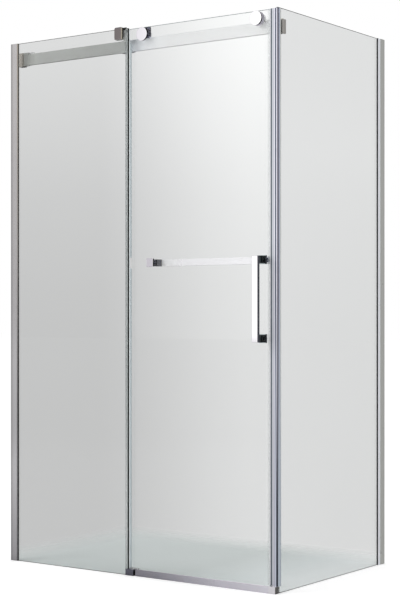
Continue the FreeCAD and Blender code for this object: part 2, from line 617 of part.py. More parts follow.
def saddle_screws():
    screws = []
    for z in saddle_screw_heights():
        x = CLAMP_LEFT + ARM_WIDTH / 2
        shank = rod_y(SADDLE_SCREW_RADIUS, x, z, RAIL_BACK + HOLE_FIT, LEG_BACK)
        head = rod_y(SADDLE_SCREW_RADIUS * 1.9, x, z, LEG_BACK, LEG_BACK + SADDLE_SCREW_RADIUS)
        screws.append(shank.fuse(head).removeSplitter())
    return group(screws)


def clamp_pads():
    """Rubber pads on both sides of the glass at the two clamps."""
    bore = CLAMP_BOLT_RADIUS + HOLE_FIT
    pads = []
    for y0, y1 in ((-PAD, 0), (GLASS, GLASS + PAD)):
        pad = box(CLAMP_LEFT + CLAMP_CORNER, CLAMP_RIGHT - CLAMP_CORNER, y0, y1,
                  CLAMP_BOTTOM + CLAMP_CORNER, FRONT_HEIGHT - ARRIS)
        pads.append(pad.cut(rod_y(bore, CLAMP_MIDDLE, CLAMP_BOLT_HEIGHT, y0, y1)))
    for x0, x1 in ((SIDE_INNER - PAD, SIDE_INNER), (FRONT_WIDTH, FRONT_WIDTH + PAD)):
        pad = box(x0, x1, RAIL_FRONT - SOCKET_WALL + CLAMP_BEVEL, RAIL_BACK + SOCKET_WALL - CLAMP_BEVEL,
                  RAIL_BOTTOM, RAIL_TOP)
        pads.append(pad.cut(rod_x(bore, RAIL_MIDDLE, RAIL_CENTRE, x0, x1)))
    return group(pads)


def clamp_bolts():
    """Bolts of the two clamps, each with a low head on the inside."""
    front_shank = rod_y(CLAMP_BOLT_RADIUS, CLAMP_MIDDLE, CLAMP_BOLT_HEIGHT,
                        -PAD - CLAMP_THICKNESS / 2, PLATE_BACK)
    front_head = rod_y(CLAMP_BOLT_HEAD, CLAMP_MIDDLE, CLAMP_BOLT_HEIGHT, SINK_FRONT, PLATE_BACK)
    side_shank = rod_x(CLAMP_BOLT_RADIUS, RAIL_MIDDLE, RAIL_CENTRE,
                       RAIL_RIGHT, FRONT_WIDTH + PAD + SIDE_PLATE / 2)
    side_head = rod_x(CLAMP_BOLT_HEAD, RAIL_MIDDLE, RAIL_CENTRE, RAIL_RIGHT, RAIL_RIGHT + SOCKET_BACK / 2)
    return group([front_shank.fuse(front_head).removeSplitter(),
                  side_shank.fuse(side_head).removeSplitter()])


def save_clamp():
    save("clamp_block", clamp_block())
    save("rail_arm", rail_arm())
    save("rail_saddle", rail_saddle())
    save("saddle_screws", saddle_screws())
    save("clamp_pads", clamp_pads())
    save("clamp_bolts", clamp_bolts())


# ---- Seals of the fixed parts -------------------------------------------------------------

def save_edge_seal():
    """Clear strip on the inner face of the fixed pane, with a fin towards the door.

    The fin is left out where the roller caps and the cap of the towel rail pass it.
    """
    bottom = GUIDE_HEIGHT + PAD
    leg_left = FIXED_EDGE - EDGE_SEAL_LEG
    leg_back = GLASS + SEAL_WALL
    fin_right = FIXED_EDGE + EDGE_SEAL_PAST
    fin_left = fin_right - EDGE_SEAL_FIN
    leg = box(leg_left, fin_right, GLASS, leg_back, bottom, FRONT_HEIGHT - ARRIS)
    fin_back = DOOR_FRONT - EDGE_SEAL_GAP
    cap_low = HANDLE_TOP_FIXING - ROSE_HEIGHT / 2 - SEAL_NOTCH
    cap_high = HANDLE_TOP_FIXING + ROSE_HEIGHT / 2 + SEAL_NOTCH
    roller_low = ROLLER_HEIGHT - ROLLER_CAP_RADIUS - SEAL_NOTCH
    fins = [box(fin_left, fin_right, leg_back, fin_back, z0, z1)
            for z0, z1 in ((bottom, cap_low), (cap_high, roller_low))]
    core = [box(fin_left + SEAL_WALL, fin_right - SEAL_WALL, leg_back, fin_back - SEAL_WALL,
                bottom, roller_low)]
    save("pane_edge_seal", leg.fuse(fins).removeSplitter().cut(group(core)))


def magnet_nose(x0, x1, y_middle, z0, z1):
    """Square tube of a seal that holds its magnet strip."""
    half = MAGNET_WIDTH / 2 + SEAL_WALL
    return box(x0, x1, y_middle - half, y_middle + half, z0, z1)


def magnet_strip(x0, x1, y_middle, z0, z1):
    half = MAGNET_WIDTH / 2
    return box(x0, x1, y_middle - half, y_middle + half, z0, z1)


def save_side_seal():
    """Clear clip over the front edge of the side pane, with a magnet facing the door."""
    bottom = CAP_HEIGHT
    outside = box(SIDE_INNER - SEAL_WALL, FRONT_WIDTH + SEAL_WALL, SIDE_EDGE - SEAL_WALL,
                  SIDE_EDGE + SIDE_SEAL_LEG, bottom, SEAL_TOP)
    glass = box(SIDE_INNER, FRONT_WIDTH, SIDE_EDGE, SIDE_EDGE + SIDE_SEAL_LEG, bottom, SEAL_TOP)
    nose_right = SIDE_INNER - SEAL_WALL
    nose_left = nose_right - SIDE_NOSE
    y_middle = (DOOR_FRONT + DOOR_BACK) / 2
    nose = magnet_nose(nose_left, nose_right, y_middle, bottom, SEAL_TOP)
    magnet_left = nose_left + SEAL_WALL
    magnet = magnet_strip(magnet_left, magnet_left + MAGNET_THICKNESS, y_middle, bottom, SEAL_TOP)
    pocket = magnet_strip(magnet_left, nose_right - SEAL_WALL, y_middle, bottom, SEAL_TOP)
    save("side_seal", outside.fuse(nose).removeSplitter().cut(glass).cut(pocket))
    save("side_magnet", magnet)
    return nose_left


# ---- Bottom guide, threshold and corner cap -----------------------------------------------

def guide_hole_places():
    middle = FIXED_EDGE + GUIDE_AFTER_EDGE / 2
    y = (GLASS + DOOR_FRONT) / 2
    return [(middle - GUIDE_HOLE_SPACING / 2, y), (middle + GUIDE_HOLE_SPACING / 2, y)]


def save_guide():
    x0 = FIXED_EDGE - GUIDE_BEFORE_EDGE
    x1 = FIXED_EDGE + GUIDE_AFTER_EDGE
    slot_front = DOOR_FRONT - GUIDE_PLAY - GUIDE_LINER
    slot_back = DOOR_BACK + GUIDE_PLAY + GUIDE_LINER
    block = box(x0, x1, -GUIDE_FRONT, slot_back + GUIDE_BACK_WALL, 0, GUIDE_HEIGHT)
    block = block.makeChamfer(CAP_BEVEL, edges_at(block, "z", GUIDE_HEIGHT))
    glass_slot = box(x0, FIXED_EDGE + HOLE_FIT, -HOLE_FIT, GLASS + HOLE_FIT, 0, GUIDE_HEIGHT)
    door_slot = box(x0, x1, slot_front, slot_back, GUIDE_SLOT_FLOOR, GUIDE_HEIGHT)
    block = block.cut(glass_slot).cut(door_slot)
    for x, y in guide_hole_places():
        block = block.cut(rod(GUIDE_HOLE_RADIUS, V(x, y, 0), V(x, y, GUIDE_HEIGHT)))
    save("guide_block", block)
    liner = box(x0, x1, slot_front, slot_back, GUIDE_SLOT_FLOOR, GUIDE_HEIGHT)
    way = box(x0, x1, DOOR_FRONT - GUIDE_PLAY, DOOR_BACK + GUIDE_PLAY,
              GUIDE_SLOT_FLOOR + GUIDE_LINER, GUIDE_HEIGHT)
    save("guide_liner", liner.cut(way))


def save_threshold():
    x0 = FIXED_EDGE + GUIDE_AFTER_EDGE + THRESHOLD_START
    x1 = FRONT_WIDTH - CAP_WIDTH
    back = DOOR_BACK + THRESHOLD_UPSTAND
    base = box(x0, x1, 0, back, 0, THRESHOLD_BASE)
    upstand = box(x0, x1, 0, THRESHOLD_UPSTAND, 0, THRESHOLD_HEIGHT)
    rear_lip = box(x0, x1, back - THRESHOLD_BASE, back, 0, THRESHOLD_BASE * 2)
    shape = base.fuse([upstand, rear_lip]).removeSplitter()
    shape = shape.makeChamfer(CAP_BEVEL, edges_at(shape, "z", THRESHOLD_HEIGHT))
    blade_top = BLADE_HEIGHT + BLADE_THICKNESS
    groove = box(x0, x1, THRESHOLD_UPSTAND - BLADE_ROOT, THRESHOLD_UPSTAND, BLADE_HEIGHT, blade_top)
    save("threshold", shape.cut(groove))
    save("threshold_seal", box(x0, x1, THRESHOLD_UPSTAND - BLADE_ROOT, DOOR_FRONT - BLADE_GAP,
                               BLADE_HEIGHT, blade_top))


def save_corner_cap():
    """Block at the outer corner, notched for the foot of the side pane."""
    cap = box(FRONT_WIDTH - CAP_WIDTH, FRONT_WIDTH, 0, CAP_DEPTH, 0, CAP_HEIGHT)
    notch = box(SIDE_INNER - HOLE_FIT, FRONT_WIDTH, SIDE_EDGE - HOLE_FIT, CAP_DEPTH, 0, CAP_HEIGHT)
    save("corner_cap", cap.cut(notch))


# ---- Door ---------------------------------------------------------------------------------

def fixing_places():
    """The three through fixings of handle and towel rail, as X and Z."""
    return [(TOWEL_X, HANDLE_TOP_FIXING), (HANDLE_X, HANDLE_TOP_FIXING), (HANDLE_X, HANDLE_BOTTOM_FIXING)]


def roller_places():
    return [(ROLLER_LEFT, ROLLER_HEIGHT), (ROLLER_RIGHT, ROLLER_HEIGHT)]


def save_door_glass():
    sheet = pane(DOOR_LEFT, DOOR_RIGHT, DOOR_FRONT, DOOR_BACK, DOOR_FLOOR_GAP, FRONT_HEIGHT)
    bushes = []
    for x, z in fixing_places() + roller_places():
        sheet = sheet.cut(rod_y(GLASS_HOLE, x, z, DOOR_FRONT, DOOR_BACK))
        bushes.append(ring_y(GLASS_HOLE - HOLE_FIT, THREAD_RADIUS, x, z, DOOR_FRONT, DOOR_BACK))
    save("door_pane", sheet)
    save("door_bushes", group(bushes))


def save_door_seal(side_nose_left):
    """Clear clip over the closing edge of the door, with its magnet."""
    bottom = CAP_HEIGHT + PAD
    outside = box(DOOR_RIGHT - DOOR_SEAL_LEG, DOOR_RIGHT + SEAL_WALL, DOOR_FRONT - SEAL_WALL,
                  DOOR_BACK + SEAL_WALL, bottom, SEAL_TOP)
    glass = box(DOOR_RIGHT - DOOR_SEAL_LEG, DOOR_RIGHT, DOOR_FRONT, DOOR_BACK, bottom, SEAL_TOP)
    nose_right = side_nose_left - SEAL_MEETING_GAP
    y_middle = (DOOR_FRONT + DOOR_BACK) / 2
    nose = magnet_nose(DOOR_RIGHT + SEAL_WALL, nose_right, y_middle, bottom, SEAL_TOP)
    magnet_right = nose_right - SEAL_WALL
    magnet = magnet_strip(magnet_right - MAGNET_THICKNESS, magnet_right, y_middle, bottom, SEAL_TOP)
    pocket = magnet_strip(DOOR_RIGHT + 2 * SEAL_WALL, magnet_right, y_middle, bottom, SEAL_TOP)
    save("door_seal", outside.fuse(nose).removeSplitter().cut(glass).cut(pocket))
    save("door_magnet", magnet)


# ---- Rollers ------------------------------------------------------------------------------

def roller_cap(x):
    """Round cap outside the door, with a blind thread behind."""
    front = DOOR_FRONT - DOOR_PAD - ROLLER_CAP_THICKNESS
    cap = rod_y(ROLLER_CAP_RADIUS, x, ROLLER_HEIGHT, front, DOOR_FRONT - DOOR_PAD)
    cap = cap.makeFillet(ROLLER_CAP_ROUND, edges_at(cap, "y", front))
    thread = rod_y(THREAD_RADIUS, x, ROLLER_HEIGHT, front + ROLLER_CAP_ROUND, DOOR_FRONT - DOOR_PAD)
    return cap.cut(thread)


def roller_hub(x):
    """Round plate behind the door glass."""
    y0 = DOOR_BACK + DOOR_PAD
    y1 = y0 + HUB_THICKNESS
    hub = rod_y(HUB_RADIUS, x, ROLLER_HEIGHT, y0, y1)
    hub = hub.makeFillet(ROLLER_CAP_ROUND, edges_at(hub, "y", y1))
    return hub.cut(rod_y(THREAD_RADIUS, x, ROLLER_HEIGHT, y0, y1))


def roller_carrier(x):
    """Squared plate behind the door glass at the left roller."""
    y0 = DOOR_BACK + DOOR_PAD
    y1 = y0 + HUB_THICKNESS
    middle = x + CARRIER_SHIFT
    height = ROLLER_HEIGHT + CARRIER_RISE
    plate = rounded_box(middle - CARRIER_WIDTH / 2, middle + CARRIER_WIDTH / 2, y0, y1,
                        height - CARRIER_HEIGHT / 2, height + CARRIER_HEIGHT / 2,
                        ALONG_Y, CARRIER_CORNER)
    return plate.cut(rod_y(THREAD_RADIUS, x, ROLLER_HEIGHT, y0, y1))


def roller_axle(x):
    """Stepped shaft: stud through the glass, then the eccentric shoulder and wheel journal."""
    hub_back = DOOR_BACK + DOOR_PAD + HUB_THICKNESS
    shoulder_end = WHEEL_FRONT - SIDE_RUNNING_GAP
    end = WHEEL_BACK + SIDE_RUNNING_GAP
    stud = rod_y(BOLT_RADIUS, x, ROLLER_HEIGHT, DOOR_FRONT - DOOR_PAD - ROLLER_CAP_THICKNESS / 2, hub_back)
    shoulder = rod_y(SHOULDER_RADIUS, x, AXLE_HEIGHT, hub_back, shoulder_end)
    journal = rod_y(AXLE_RADIUS, x, AXLE_HEIGHT, shoulder_end, end)
    axle = stud.fuse([shoulder, journal]).removeSplitter()
    return axle.cut(rod_y(END_SCREW_RADIUS + HOLE_FIT, x, AXLE_HEIGHT, end - END_SCREW_LENGTH, end))


def roller_end_screw(x):
    """Screw with a wide washer that keeps the wheel on its journal."""
    start = WHEEL_BACK + SIDE_RUNNING_GAP
    washer = rod_y(END_WASHER_RADIUS, x, AXLE_HEIGHT, start, start + END_WASHER)
    head = rod_y(END_HEAD_RADIUS, x, AXLE_HEIGHT, start + END_WASHER, start + END_WASHER + END_HEAD)
    shank = rod_y(END_SCREW_RADIUS, x, AXLE_HEIGHT, start - END_SCREW_LENGTH + HOLE_FIT, start)
    return washer.fuse([head, shank]).removeSplitter()


def wheel_bearing(x):
    return ring_y(BEARING_RADIUS, BEARING_BORE, x, AXLE_HEIGHT, WHEEL_FRONT, WHEEL_BACK)


def wheel_tyre(x):
    """Running tread on the top edge of the rail."""
    return ring_y(TREAD_RADIUS, BEARING_RADIUS, x, AXLE_HEIGHT, TREAD_FRONT, TREAD_BACK)


def wheel_flanges(x):
    """Two discs beside the tread that keep the wheel on the rail."""
    discs = []
    for y0, y1, outer in ((WHEEL_FRONT, TREAD_FRONT, WHEEL_FRONT), (TREAD_BACK, WHEEL_BACK, WHEEL_BACK)):
        disc = rod_y(FLANGE_RADIUS, x, AXLE_HEIGHT, y0, y1)
        disc = disc.makeFillet(FLANGE_THICKNESS / 4, edges_at(disc, "y", outer))
        discs.append(disc.cut(rod_y(BEARING_RADIUS, x, AXLE_HEIGHT, y0, y1)))
    return group(discs)


def save_rollers():
    for side, x in (("left", ROLLER_LEFT), ("right", ROLLER_RIGHT)):
        save("roller_cap_" + side, roller_cap(x))
        save("roller_axle_" + side, roller_axle(x))
        save("wheel_bearing_" + side, wheel_bearing(x))
        save("wheel_tyre_" + side, wheel_tyre(x))
        save("wheel_flanges_" + side, wheel_flanges(x))
    save("roller_carrier_left", roller_carrier(ROLLER_LEFT))
    save("roller_hub_right", roller_hub(ROLLER_RIGHT))
    save("roller_end_screws", group([roller_end_screw(ROLLER_LEFT), roller_end_screw(ROLLER_RIGHT)]))


# ---- Handle and towel rail ----------------------------------------------------------------

def bow(bar, posts, front):
    """A bar and its two end posts as one piece, rounded along the edges of its front face."""
    shape = bar.fuse(posts).removeSplitter()
    return shape.makeFillet(BAR_ROUND, edges_at(shape, "y", front))


def pull_handle():
    """Upright bar outside the door."""
    x0 = HANDLE_LEFT
    x1 = HANDLE_LEFT + BAR_WIDTH
    rise = POST_HEIGHT / 2
    bar_back = HANDLE_FRONT + BAR_THICKNESS
    bar = box(x0, x1, HANDLE_FRONT, bar_back, HANDLE_BOTTOM_FIXING - rise, HANDLE_TOP_FIXING + rise)
    heights = (HANDLE_BOTTOM_FIXING, HANDLE_TOP_FIXING)
    posts = [box(x0, x1, bar_back, ROSE_FRONT, z - rise, z + rise) for z in heights]
    shape = bow(bar, posts, HANDLE_FRONT)
    for z in heights:
        shape = shape.cut(rod_y(THREAD_RADIUS, HANDLE_X, z, ROSE_FRONT - THREAD_DEPTH, ROSE_FRONT))
    return shape


def towel_rail():
    """Level bar inside the door."""
    half = BAR_WIDTH / 2
    bar_front = TOWEL_BACK - BAR_THICKNESS
    z0 = HANDLE_TOP_FIXING - half
    z1 = HANDLE_TOP_FIXING + half
    bar = box(TOWEL_X - half, HANDLE_X + half, bar_front, TOWEL_BACK, z0, z1)
    posts = [box(x - half, x + half, NECK_BACK, bar_front, z0, z1) for x in (TOWEL_X, HANDLE_X)]
    shape = bow(bar, posts, TOWEL_BACK)
    for x in (TOWEL_X, HANDLE_X):
        shape = shape.cut(rod_y(THREAD_RADIUS, x, HANDLE_TOP_FIXING, NECK_BACK, NECK_BACK + THREAD_DEPTH))
    return shape


def rose(x, z, hole_front):
    """Square plate on the outside of the door glass, bored from the glass to hole_front."""
    half = ROSE_WIDTH / 2
    rise = ROSE_HEIGHT / 2
    plate = box(x - half, x + half, ROSE_FRONT, ROSE_BACK, z - rise, z + rise)
    plate = plate.makeFillet(BAR_ROUND, edges_along(plate, ALONG_Y))
    return plate.cut(rod_y(THREAD_RADIUS, x, z, hole_front, ROSE_BACK))


def save_fittings():
    save("pull_handle", pull_handle())
    save("towel_rail", towel_rail())
    save("handle_roses", group([rose(HANDLE_X, z, ROSE_FRONT)
                                for z in (HANDLE_TOP_FIXING, HANDLE_BOTTOM_FIXING)]))
    outer_cap = rose(TOWEL_X, HANDLE_TOP_FIXING, ROSE_MIDDLE)
    save("towel_outer_cap", outer_cap.makeChamfer(BAR_ROUND / 2, edges_at(outer_cap, "y", ROSE_FRONT)))
    save("towel_necks", group([ring_y(NECK_RADIUS, THREAD_RADIUS, x, HANDLE_TOP_FIXING, NECK_FRONT, NECK_BACK)
                               for x in (TOWEL_X, HANDLE_X)]))
    button = rod_y(BUTTON_RADIUS, HANDLE_X, HANDLE_BOTTOM_FIXING, NECK_FRONT, BUTTON_BACK)
    button = button.makeFillet(BAR_ROUND, edges_at(button, "y", BUTTON_BACK))
    save("handle_inner_button", button.cut(rod_y(THREAD_RADIUS, HANDLE_X, HANDLE_BOTTOM_FIXING,
                                                 NECK_FRONT, BUTTON_BACK - BAR_ROUND)))
    towel_end = NECK_BACK + THREAD_DEPTH
    handle_end = ROSE_FRONT - THREAD_DEPTH
    save("through_bolts", group([
        rod_y(BOLT_RADIUS, TOWEL_X, HANDLE_TOP_FIXING, ROSE_MIDDLE, towel_end),
        rod_y(BOLT_RADIUS, HANDLE_X, HANDLE_TOP_FIXING, handle_end, towel_end),
        rod_y(BOLT_RADIUS, HANDLE_X, HANDLE_BOTTOM_FIXING, handle_end, BUTTON_BACK - BAR_ROUND)]))


def save_door_gaskets():
    """Thin rubber washers between the door glass and every fitting on it."""
    places = [(x, z, WASHER_RADIUS) for x, z in fixing_places()]
    places += [(x, z, ROLLER_WASHER_RADIUS) for x, z in roller_places()]
    washers = []
    for x, z, radius in places:
        washers.append(ring_y(radius, THREAD_RADIUS, x, z, DOOR_FRONT - DOOR_PAD, DOOR_FRONT))
        washers.append(ring_y(radius, THREAD_RADIUS, x, z, DOOR_BACK, DOOR_BACK + DOOR_PAD))
    save("door_gaskets", group(washers))


save_profiles()
save_fixed_glass()
save_rail()
save_side_plate()
save_clamp()
save_edge_seal()
NOSE_LEFT = save_side_seal()
save_guide()
save_threshold()
save_corner_cap()
save_door_glass()
save_door_seal(NOSE_LEFT)
save_rollers()
save_fittings()
save_door_gaskets()
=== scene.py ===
import math

import bpy
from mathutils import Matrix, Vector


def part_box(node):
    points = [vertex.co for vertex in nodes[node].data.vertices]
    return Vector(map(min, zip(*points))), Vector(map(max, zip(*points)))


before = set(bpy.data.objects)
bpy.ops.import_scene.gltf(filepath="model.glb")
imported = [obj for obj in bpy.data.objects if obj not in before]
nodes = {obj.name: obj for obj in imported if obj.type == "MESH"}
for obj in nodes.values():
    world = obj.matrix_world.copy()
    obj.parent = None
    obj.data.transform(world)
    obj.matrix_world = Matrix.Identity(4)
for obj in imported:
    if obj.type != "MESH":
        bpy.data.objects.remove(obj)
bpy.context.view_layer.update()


def span(piece, axis):
    """Lowest and highest place of a piece along an axis of the frame, in metres."""
    lowest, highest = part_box(piece)
    number = "XYZ".index(axis)
    return lowest[number], highest[number]


# ---- Colours and shader nodes -------------------------------------------------------------

def linear(*srgb):
    """Linear colour of an 8-bit sRGB colour, with alpha 1."""
    out = []
    for value in srgb:
        c = value / 255
        out.append(c / 12.92 if c <= 0.04045 else ((c + 0.055) / 1.055) ** 2.4)
    return (*out, 1.0)


def level(value):
    """Grey of a linear value, with alpha 1."""
    return (value, value, value, 1.0)


WHITE = level(1.0)
FIRST_COLOUR, SECOND_COLOUR, MIXED_COLOUR = 6, 7, 2   # sockets of a Mix node that mixes colours


def new_material(name):
    material = bpy.data.materials.new(name)
    material.use_nodes = True
    tree = material.node_tree
    shader = tree.nodes["Principled BSDF"]
    return material, tree, shader


def feed(tree, socket, value):
    """Give a socket a value, or a link where the value is another node's output."""
    if isinstance(value, (tuple, int, float)):
        socket.default_value = value
    else:
        tree.links.new(value, socket)


def maths(tree, operation, a, b=None, clamp=False):
    """Output of a Math node whose inputs are sockets or numbers."""
    node = tree.nodes.new("ShaderNodeMath")
    node.operation = operation
    node.use_clamp = clamp
    feed(tree, node.inputs[0], a)
    if b is not None:
        feed(tree, node.inputs[1], b)
    return node.outputs[0]


def blend(tree, value, zero_at, one_at):
    """0 to one side of zero_at, 1 past one_at, and a straight rise between them."""
    return maths(tree, "DIVIDE", maths(tree, "SUBTRACT", value, zero_at), one_at - zero_at, clamp=True)


def mix_colours(tree, factor, first, second, blend_type="MIX"):
    node = tree.nodes.new("ShaderNodeMix")
    node.data_type = "RGBA"
    node.blend_type = blend_type
    feed(tree, node.inputs["Factor"], factor)
    feed(tree, node.inputs[FIRST_COLOUR], first)
    feed(tree, node.inputs[SECOND_COLOUR], second)
    return node.outputs[MIXED_COLOUR]


def scaled(tree, colour, by):
    """Product of two colours, each a socket or a value."""
    return mix_colours(tree, 1.0, colour, by, "MULTIPLY")


def mix_shaders(tree, factor, first, second):
    """Surface that goes from one shader to another."""
    both = tree.nodes.new("ShaderNodeMixShader")
    tree.links.new(factor, both.inputs["Fac"])
    tree.links.new(first.outputs[0], both.inputs[1])
    tree.links.new(second.outputs[0], both.inputs[2])
    tree.links.new(both.outputs[0], tree.nodes["Material Output"].inputs["Surface"])


def ramp(tree, factor, stops):
    """Colour ramp over (position, colour) stops."""
    node = tree.nodes.new("ShaderNodeValToRGB")
    elements = node.color_ramp.elements
    while len(elements) < len(stops):
        elements.new(0.5)
    for element, (position, colour) in zip(elements, stops):
        element.position = position
        element.color = colour
    tree.links.new(factor, node.inputs["Fac"])
    return node.outputs["Color"]


def object_point(tree):
    return tree.nodes.new("ShaderNodeTexCoord").outputs["Object"]


def parts_of(tree, vector):
    """X, Y and Z outputs of a vector."""
    split = tree.nodes.new("ShaderNodeSeparateXYZ")
    tree.links.new(vector, split.inputs[0])
    return split.outputs


def noise(tree, vector, scale, detail, stretch=(1, 1, 1)):
    mapping = tree.nodes.new("ShaderNodeMapping")
    mapping.inputs["Scale"].default_value = stretch
    tree.links.new(vector, mapping.inputs["Vector"])
    node = tree.nodes.new("ShaderNodeTexNoise")
    node.inputs["Scale"].default_value = scale
    node.inputs["Detail"].default_value = detail
    tree.links.new(mapping.outputs["Vector"], node.inputs["Vector"])
    return node.outputs["Fac"]


def bump(tree, height, strength, distance):
    node = tree.nodes.new("ShaderNodeBump")
    node.inputs["Strength"].default_value = strength
    node.inputs["Distance"].default_value = distance
    tree.links.new(height, node.inputs["Height"])
    return node.outputs["Normal"]


def varied(tree, value, by, span):
    """A value that noise varies, from half the span below it to half the span above it."""
    return maths(tree, "ADD", value * (1 - span / 2), maths(tree, "MULTIPLY", by, value * span))


def facing(tree, axis, lowest=0.5, forward_only=False):
    """1 on faces that look along an axis, either way or forward only, and 0 elsewhere."""
    geometry = tree.nodes.new("ShaderNodeNewGeometry")
    part = parts_of(tree, geometry.outputs["True Normal"])[axis]
    if not forward_only:
        part = maths(tree, "ABSOLUTE", part)
    return maths(tree, "GREATER_THAN", part, lowest)


def along(tree, axis, stops):
    """Colours along an axis of the frame, as (metres, colour) stops."""
    low, high = stops[0][0], stops[-1][0]
    place = maths(tree, "SUBTRACT", parts_of(tree, object_point(tree))[axis], low)
    place = maths(tree, "DIVIDE", place, high - low)
    return ramp(tree, place, [((at - low) / (high - low), colour) for at, colour in stops])


def tone_of(tree, axis, colour):
    """A colour as it is, or stops along an axis."""
    return along(tree, axis, colour) if isinstance(colour, list) else colour


BAND_BLEND = 0.0003        # metres from one stripe's colour to the next
EDGE_BLEND = 0.001         # metres from one stretch's colour to the next, on metal


def bands(tree, piece, axis, stripes):
    """Colour and alpha of stripes across a piece, as (metres from its low side, colour, alpha)."""
    side, _ = span(piece, axis)
    colours, alphas = [], []
    for number, (start, colour, alpha) in enumerate(stripes):
        if number:
            _, last_colour, last_alpha = stripes[number - 1]
            colours.append((side + start - BAND_BLEND, last_colour))
            alphas.append((side + start - BAND_BLEND, level(last_alpha)))
        colours.append((side + start, colour))
        alphas.append((side + start, level(alpha)))
    return along(tree, axis, colours), along(tree, axis, alphas)


# ---- Kinds of material --------------------------------------------------------------------

IOR = 1.45                 # of glass and of the plastics

# stretch and scale of a metal's grain, by the axis that it was drawn along
GRAINS = {None: ((1, 1, 1), 900.0), "X": ((1, 60, 60), 40.0), "Z": ((60, 60, 1), 40.0)}
GRAIN_SHARE = 0.6          # of the fine grain in a metal's shade, and broad clouds make up the rest
CLOUD_SCALE = 14.0
DARKEST_GRAIN = 0.94       # of the metal's own colour
GRAIN_BUMP = (0.03, 0.0001)   # strength, and depth in metres
SMUDGE_SCALE = 35.0        # handling marks, which show in the roughness
SMUDGE_SPAN = 0.5
LEVEL_FROM = 0.9           # least upright part of the normal of a level face
LEVEL_METALLIC = 0.2       # of level faces, where the rest goes by stops


def metal(name, colour, roughness, metallic=1.0, axis="Z", drawn=None, across=None, bevels=None,
          level_faces=None, sides=None, side_from=0.5, fronts=None, backs=None):
    """Metal with a faint directional grain in colour and roughness, and fine handling marks.

    colour and metallic are one value or stops along an axis, and across is stops along X that darken
    the colour as painted shade. The other colours are painted light and shade by the way a face looks:
    aslant (bevels), up or down (level_faces, also as stops along X), along X (sides, also as stops along
    Y, from side_from of the normal on) or along Y (fronts). backs is the colour of the faces that look
    into the enclosure, which are not metallic."""
    material, tree, shader = new_material(name)
    point = object_point(tree)
    stretch, grain_scale = GRAINS[drawn]
    fine = noise(tree, point, grain_scale, detail=2.0, stretch=stretch)
    cloud = noise(tree, point, CLOUD_SCALE, detail=4.0)
    shade = maths(tree, "ADD", maths(tree, "MULTIPLY", fine, GRAIN_SHARE),
                  maths(tree, "MULTIPLY", cloud, 1 - GRAIN_SHARE))
    tone = tone_of(tree, axis, colour)
    if across:
        tone = scaled(tree, tone, along(tree, "X", across))
    # colours of painted light and shade, by the way a face looks
    face_shades = [(bevels, "X", 0.5, "X"), (level_faces, "Z", LEVEL_FROM, "X"), (sides, "X", side_from, "Y"),
             (fronts, "Y", 0.5, "X")]
    for face_shade, looks_along, lowest, stops_along in face_shades:
        if face_shade:
            mask = facing(tree, looks_along, lowest)
            tone = mix_colours(tree, mask, tone, tone_of(tree, stops_along, face_shade))
    if backs:
        inward = facing(tree, "Y", forward_only=True)
        tone = mix_colours(tree, inward, tone, backs)
    grey = mix_colours(tree, shade, level(DARKEST_GRAIN), WHITE)
    tree.links.new(scaled(tree, tone, grey), shader.inputs["Base Color"])
    smudge = noise(tree, point, SMUDGE_SCALE, detail=5.0)
    tree.links.new(varied(tree, roughness, smudge, SMUDGE_SPAN), shader.inputs["Roughness"])
    tree.links.new(bump(tree, fine, *GRAIN_BUMP), shader.inputs["Normal"])
    if isinstance(metallic, list):
        share = along(tree, axis, [(at, level(value)) for at, value in metallic])
        if level_faces:
            share = mix_colours(tree, facing(tree, "Z", LEVEL_FROM), share, level(LEVEL_METALLIC))
        tree.links.new(share, shader.inputs["Metallic"])
    elif backs:
        share = mix_colours(tree, inward, level(metallic), level(0.0))
        tree.links.new(share, shader.inputs["Metallic"])
    else:
        shader.inputs["Metallic"].default_value = metallic
    return material


GLASS_TINT = (0.943, 0.953, 0.95)
STREAKED_TINT = 0.985      # of the tint, in the faint streaks of the glass
STREAK_SCALE = 3.0
GROUND_SCALE = 60.0        # specks of the ground edges
GROUND_GAIN, GROUND_LIFT = 1.5, 0.01   # from an edge's own colour to its palest specks
GROUND_ROUGHNESS = 0.5
GROUND_SPECULAR = 0.1


def glass(name, edge_axes, edge):
    """Clear float glass with ground edges painted darker, as painted shade, told apart by the axes that the
    edges look along.
    """
    material, tree, shader = new_material(name)
    mask = None
    for axis in edge_axes:
        one = facing(tree, axis)
        mask = one if mask is None else maths(tree, "MAXIMUM", mask, one)
    point = object_point(tree)
    tint = (*GLASS_TINT, 1.0)
    streaked = (*(c * STREAKED_TINT for c in GLASS_TINT), 1.0)
    streaks = noise(tree, point, STREAK_SCALE, detail=2.0)
    tree.links.new(mix_colours(tree, streaks, tint, streaked), shader.inputs["Base Color"])
    shader.inputs["Roughness"].default_value = 0.0
    shader.inputs["Transmission Weight"].default_value = 1.0
    shader.inputs["IOR"].default_value = IOR
    ground = tree.nodes.new("ShaderNodeBsdfPrincipled")
    paler = (*(min(1.0, c * GROUND_GAIN + GROUND_LIFT) for c in edge[:3]), 1.0)
    specks = noise(tree, point, GROUND_SCALE, detail=2.0)
    tree.links.new(mix_colours(tree, specks, edge, paler), ground.inputs["Base Color"])
    ground.inputs["Roughness"].default_value = GROUND_ROUGHNESS
    ground.inputs["Specular IOR Level"].default_value = GROUND_SPECULAR
    mix_shaders(tree, mask, shader, ground)
    return material


PLASTIC_SPAN = 0.4         # of the roughness, by noise
FLOW_SCALE = 300.0
FLOW_STRETCH = (1, 1, 0.02)   # flow lines run upright
FLOW_DARKEST = 0.92
FLOW_ALPHA = 0.06          # that the lines add to the plastic
SEAL_ROUGHNESS = 0.2
# near the floor the seals take on painted light and shade
LOW_FROM, LOW_FULL = 1.0, 0.3   # heights between which a seal takes on its colours near the floor


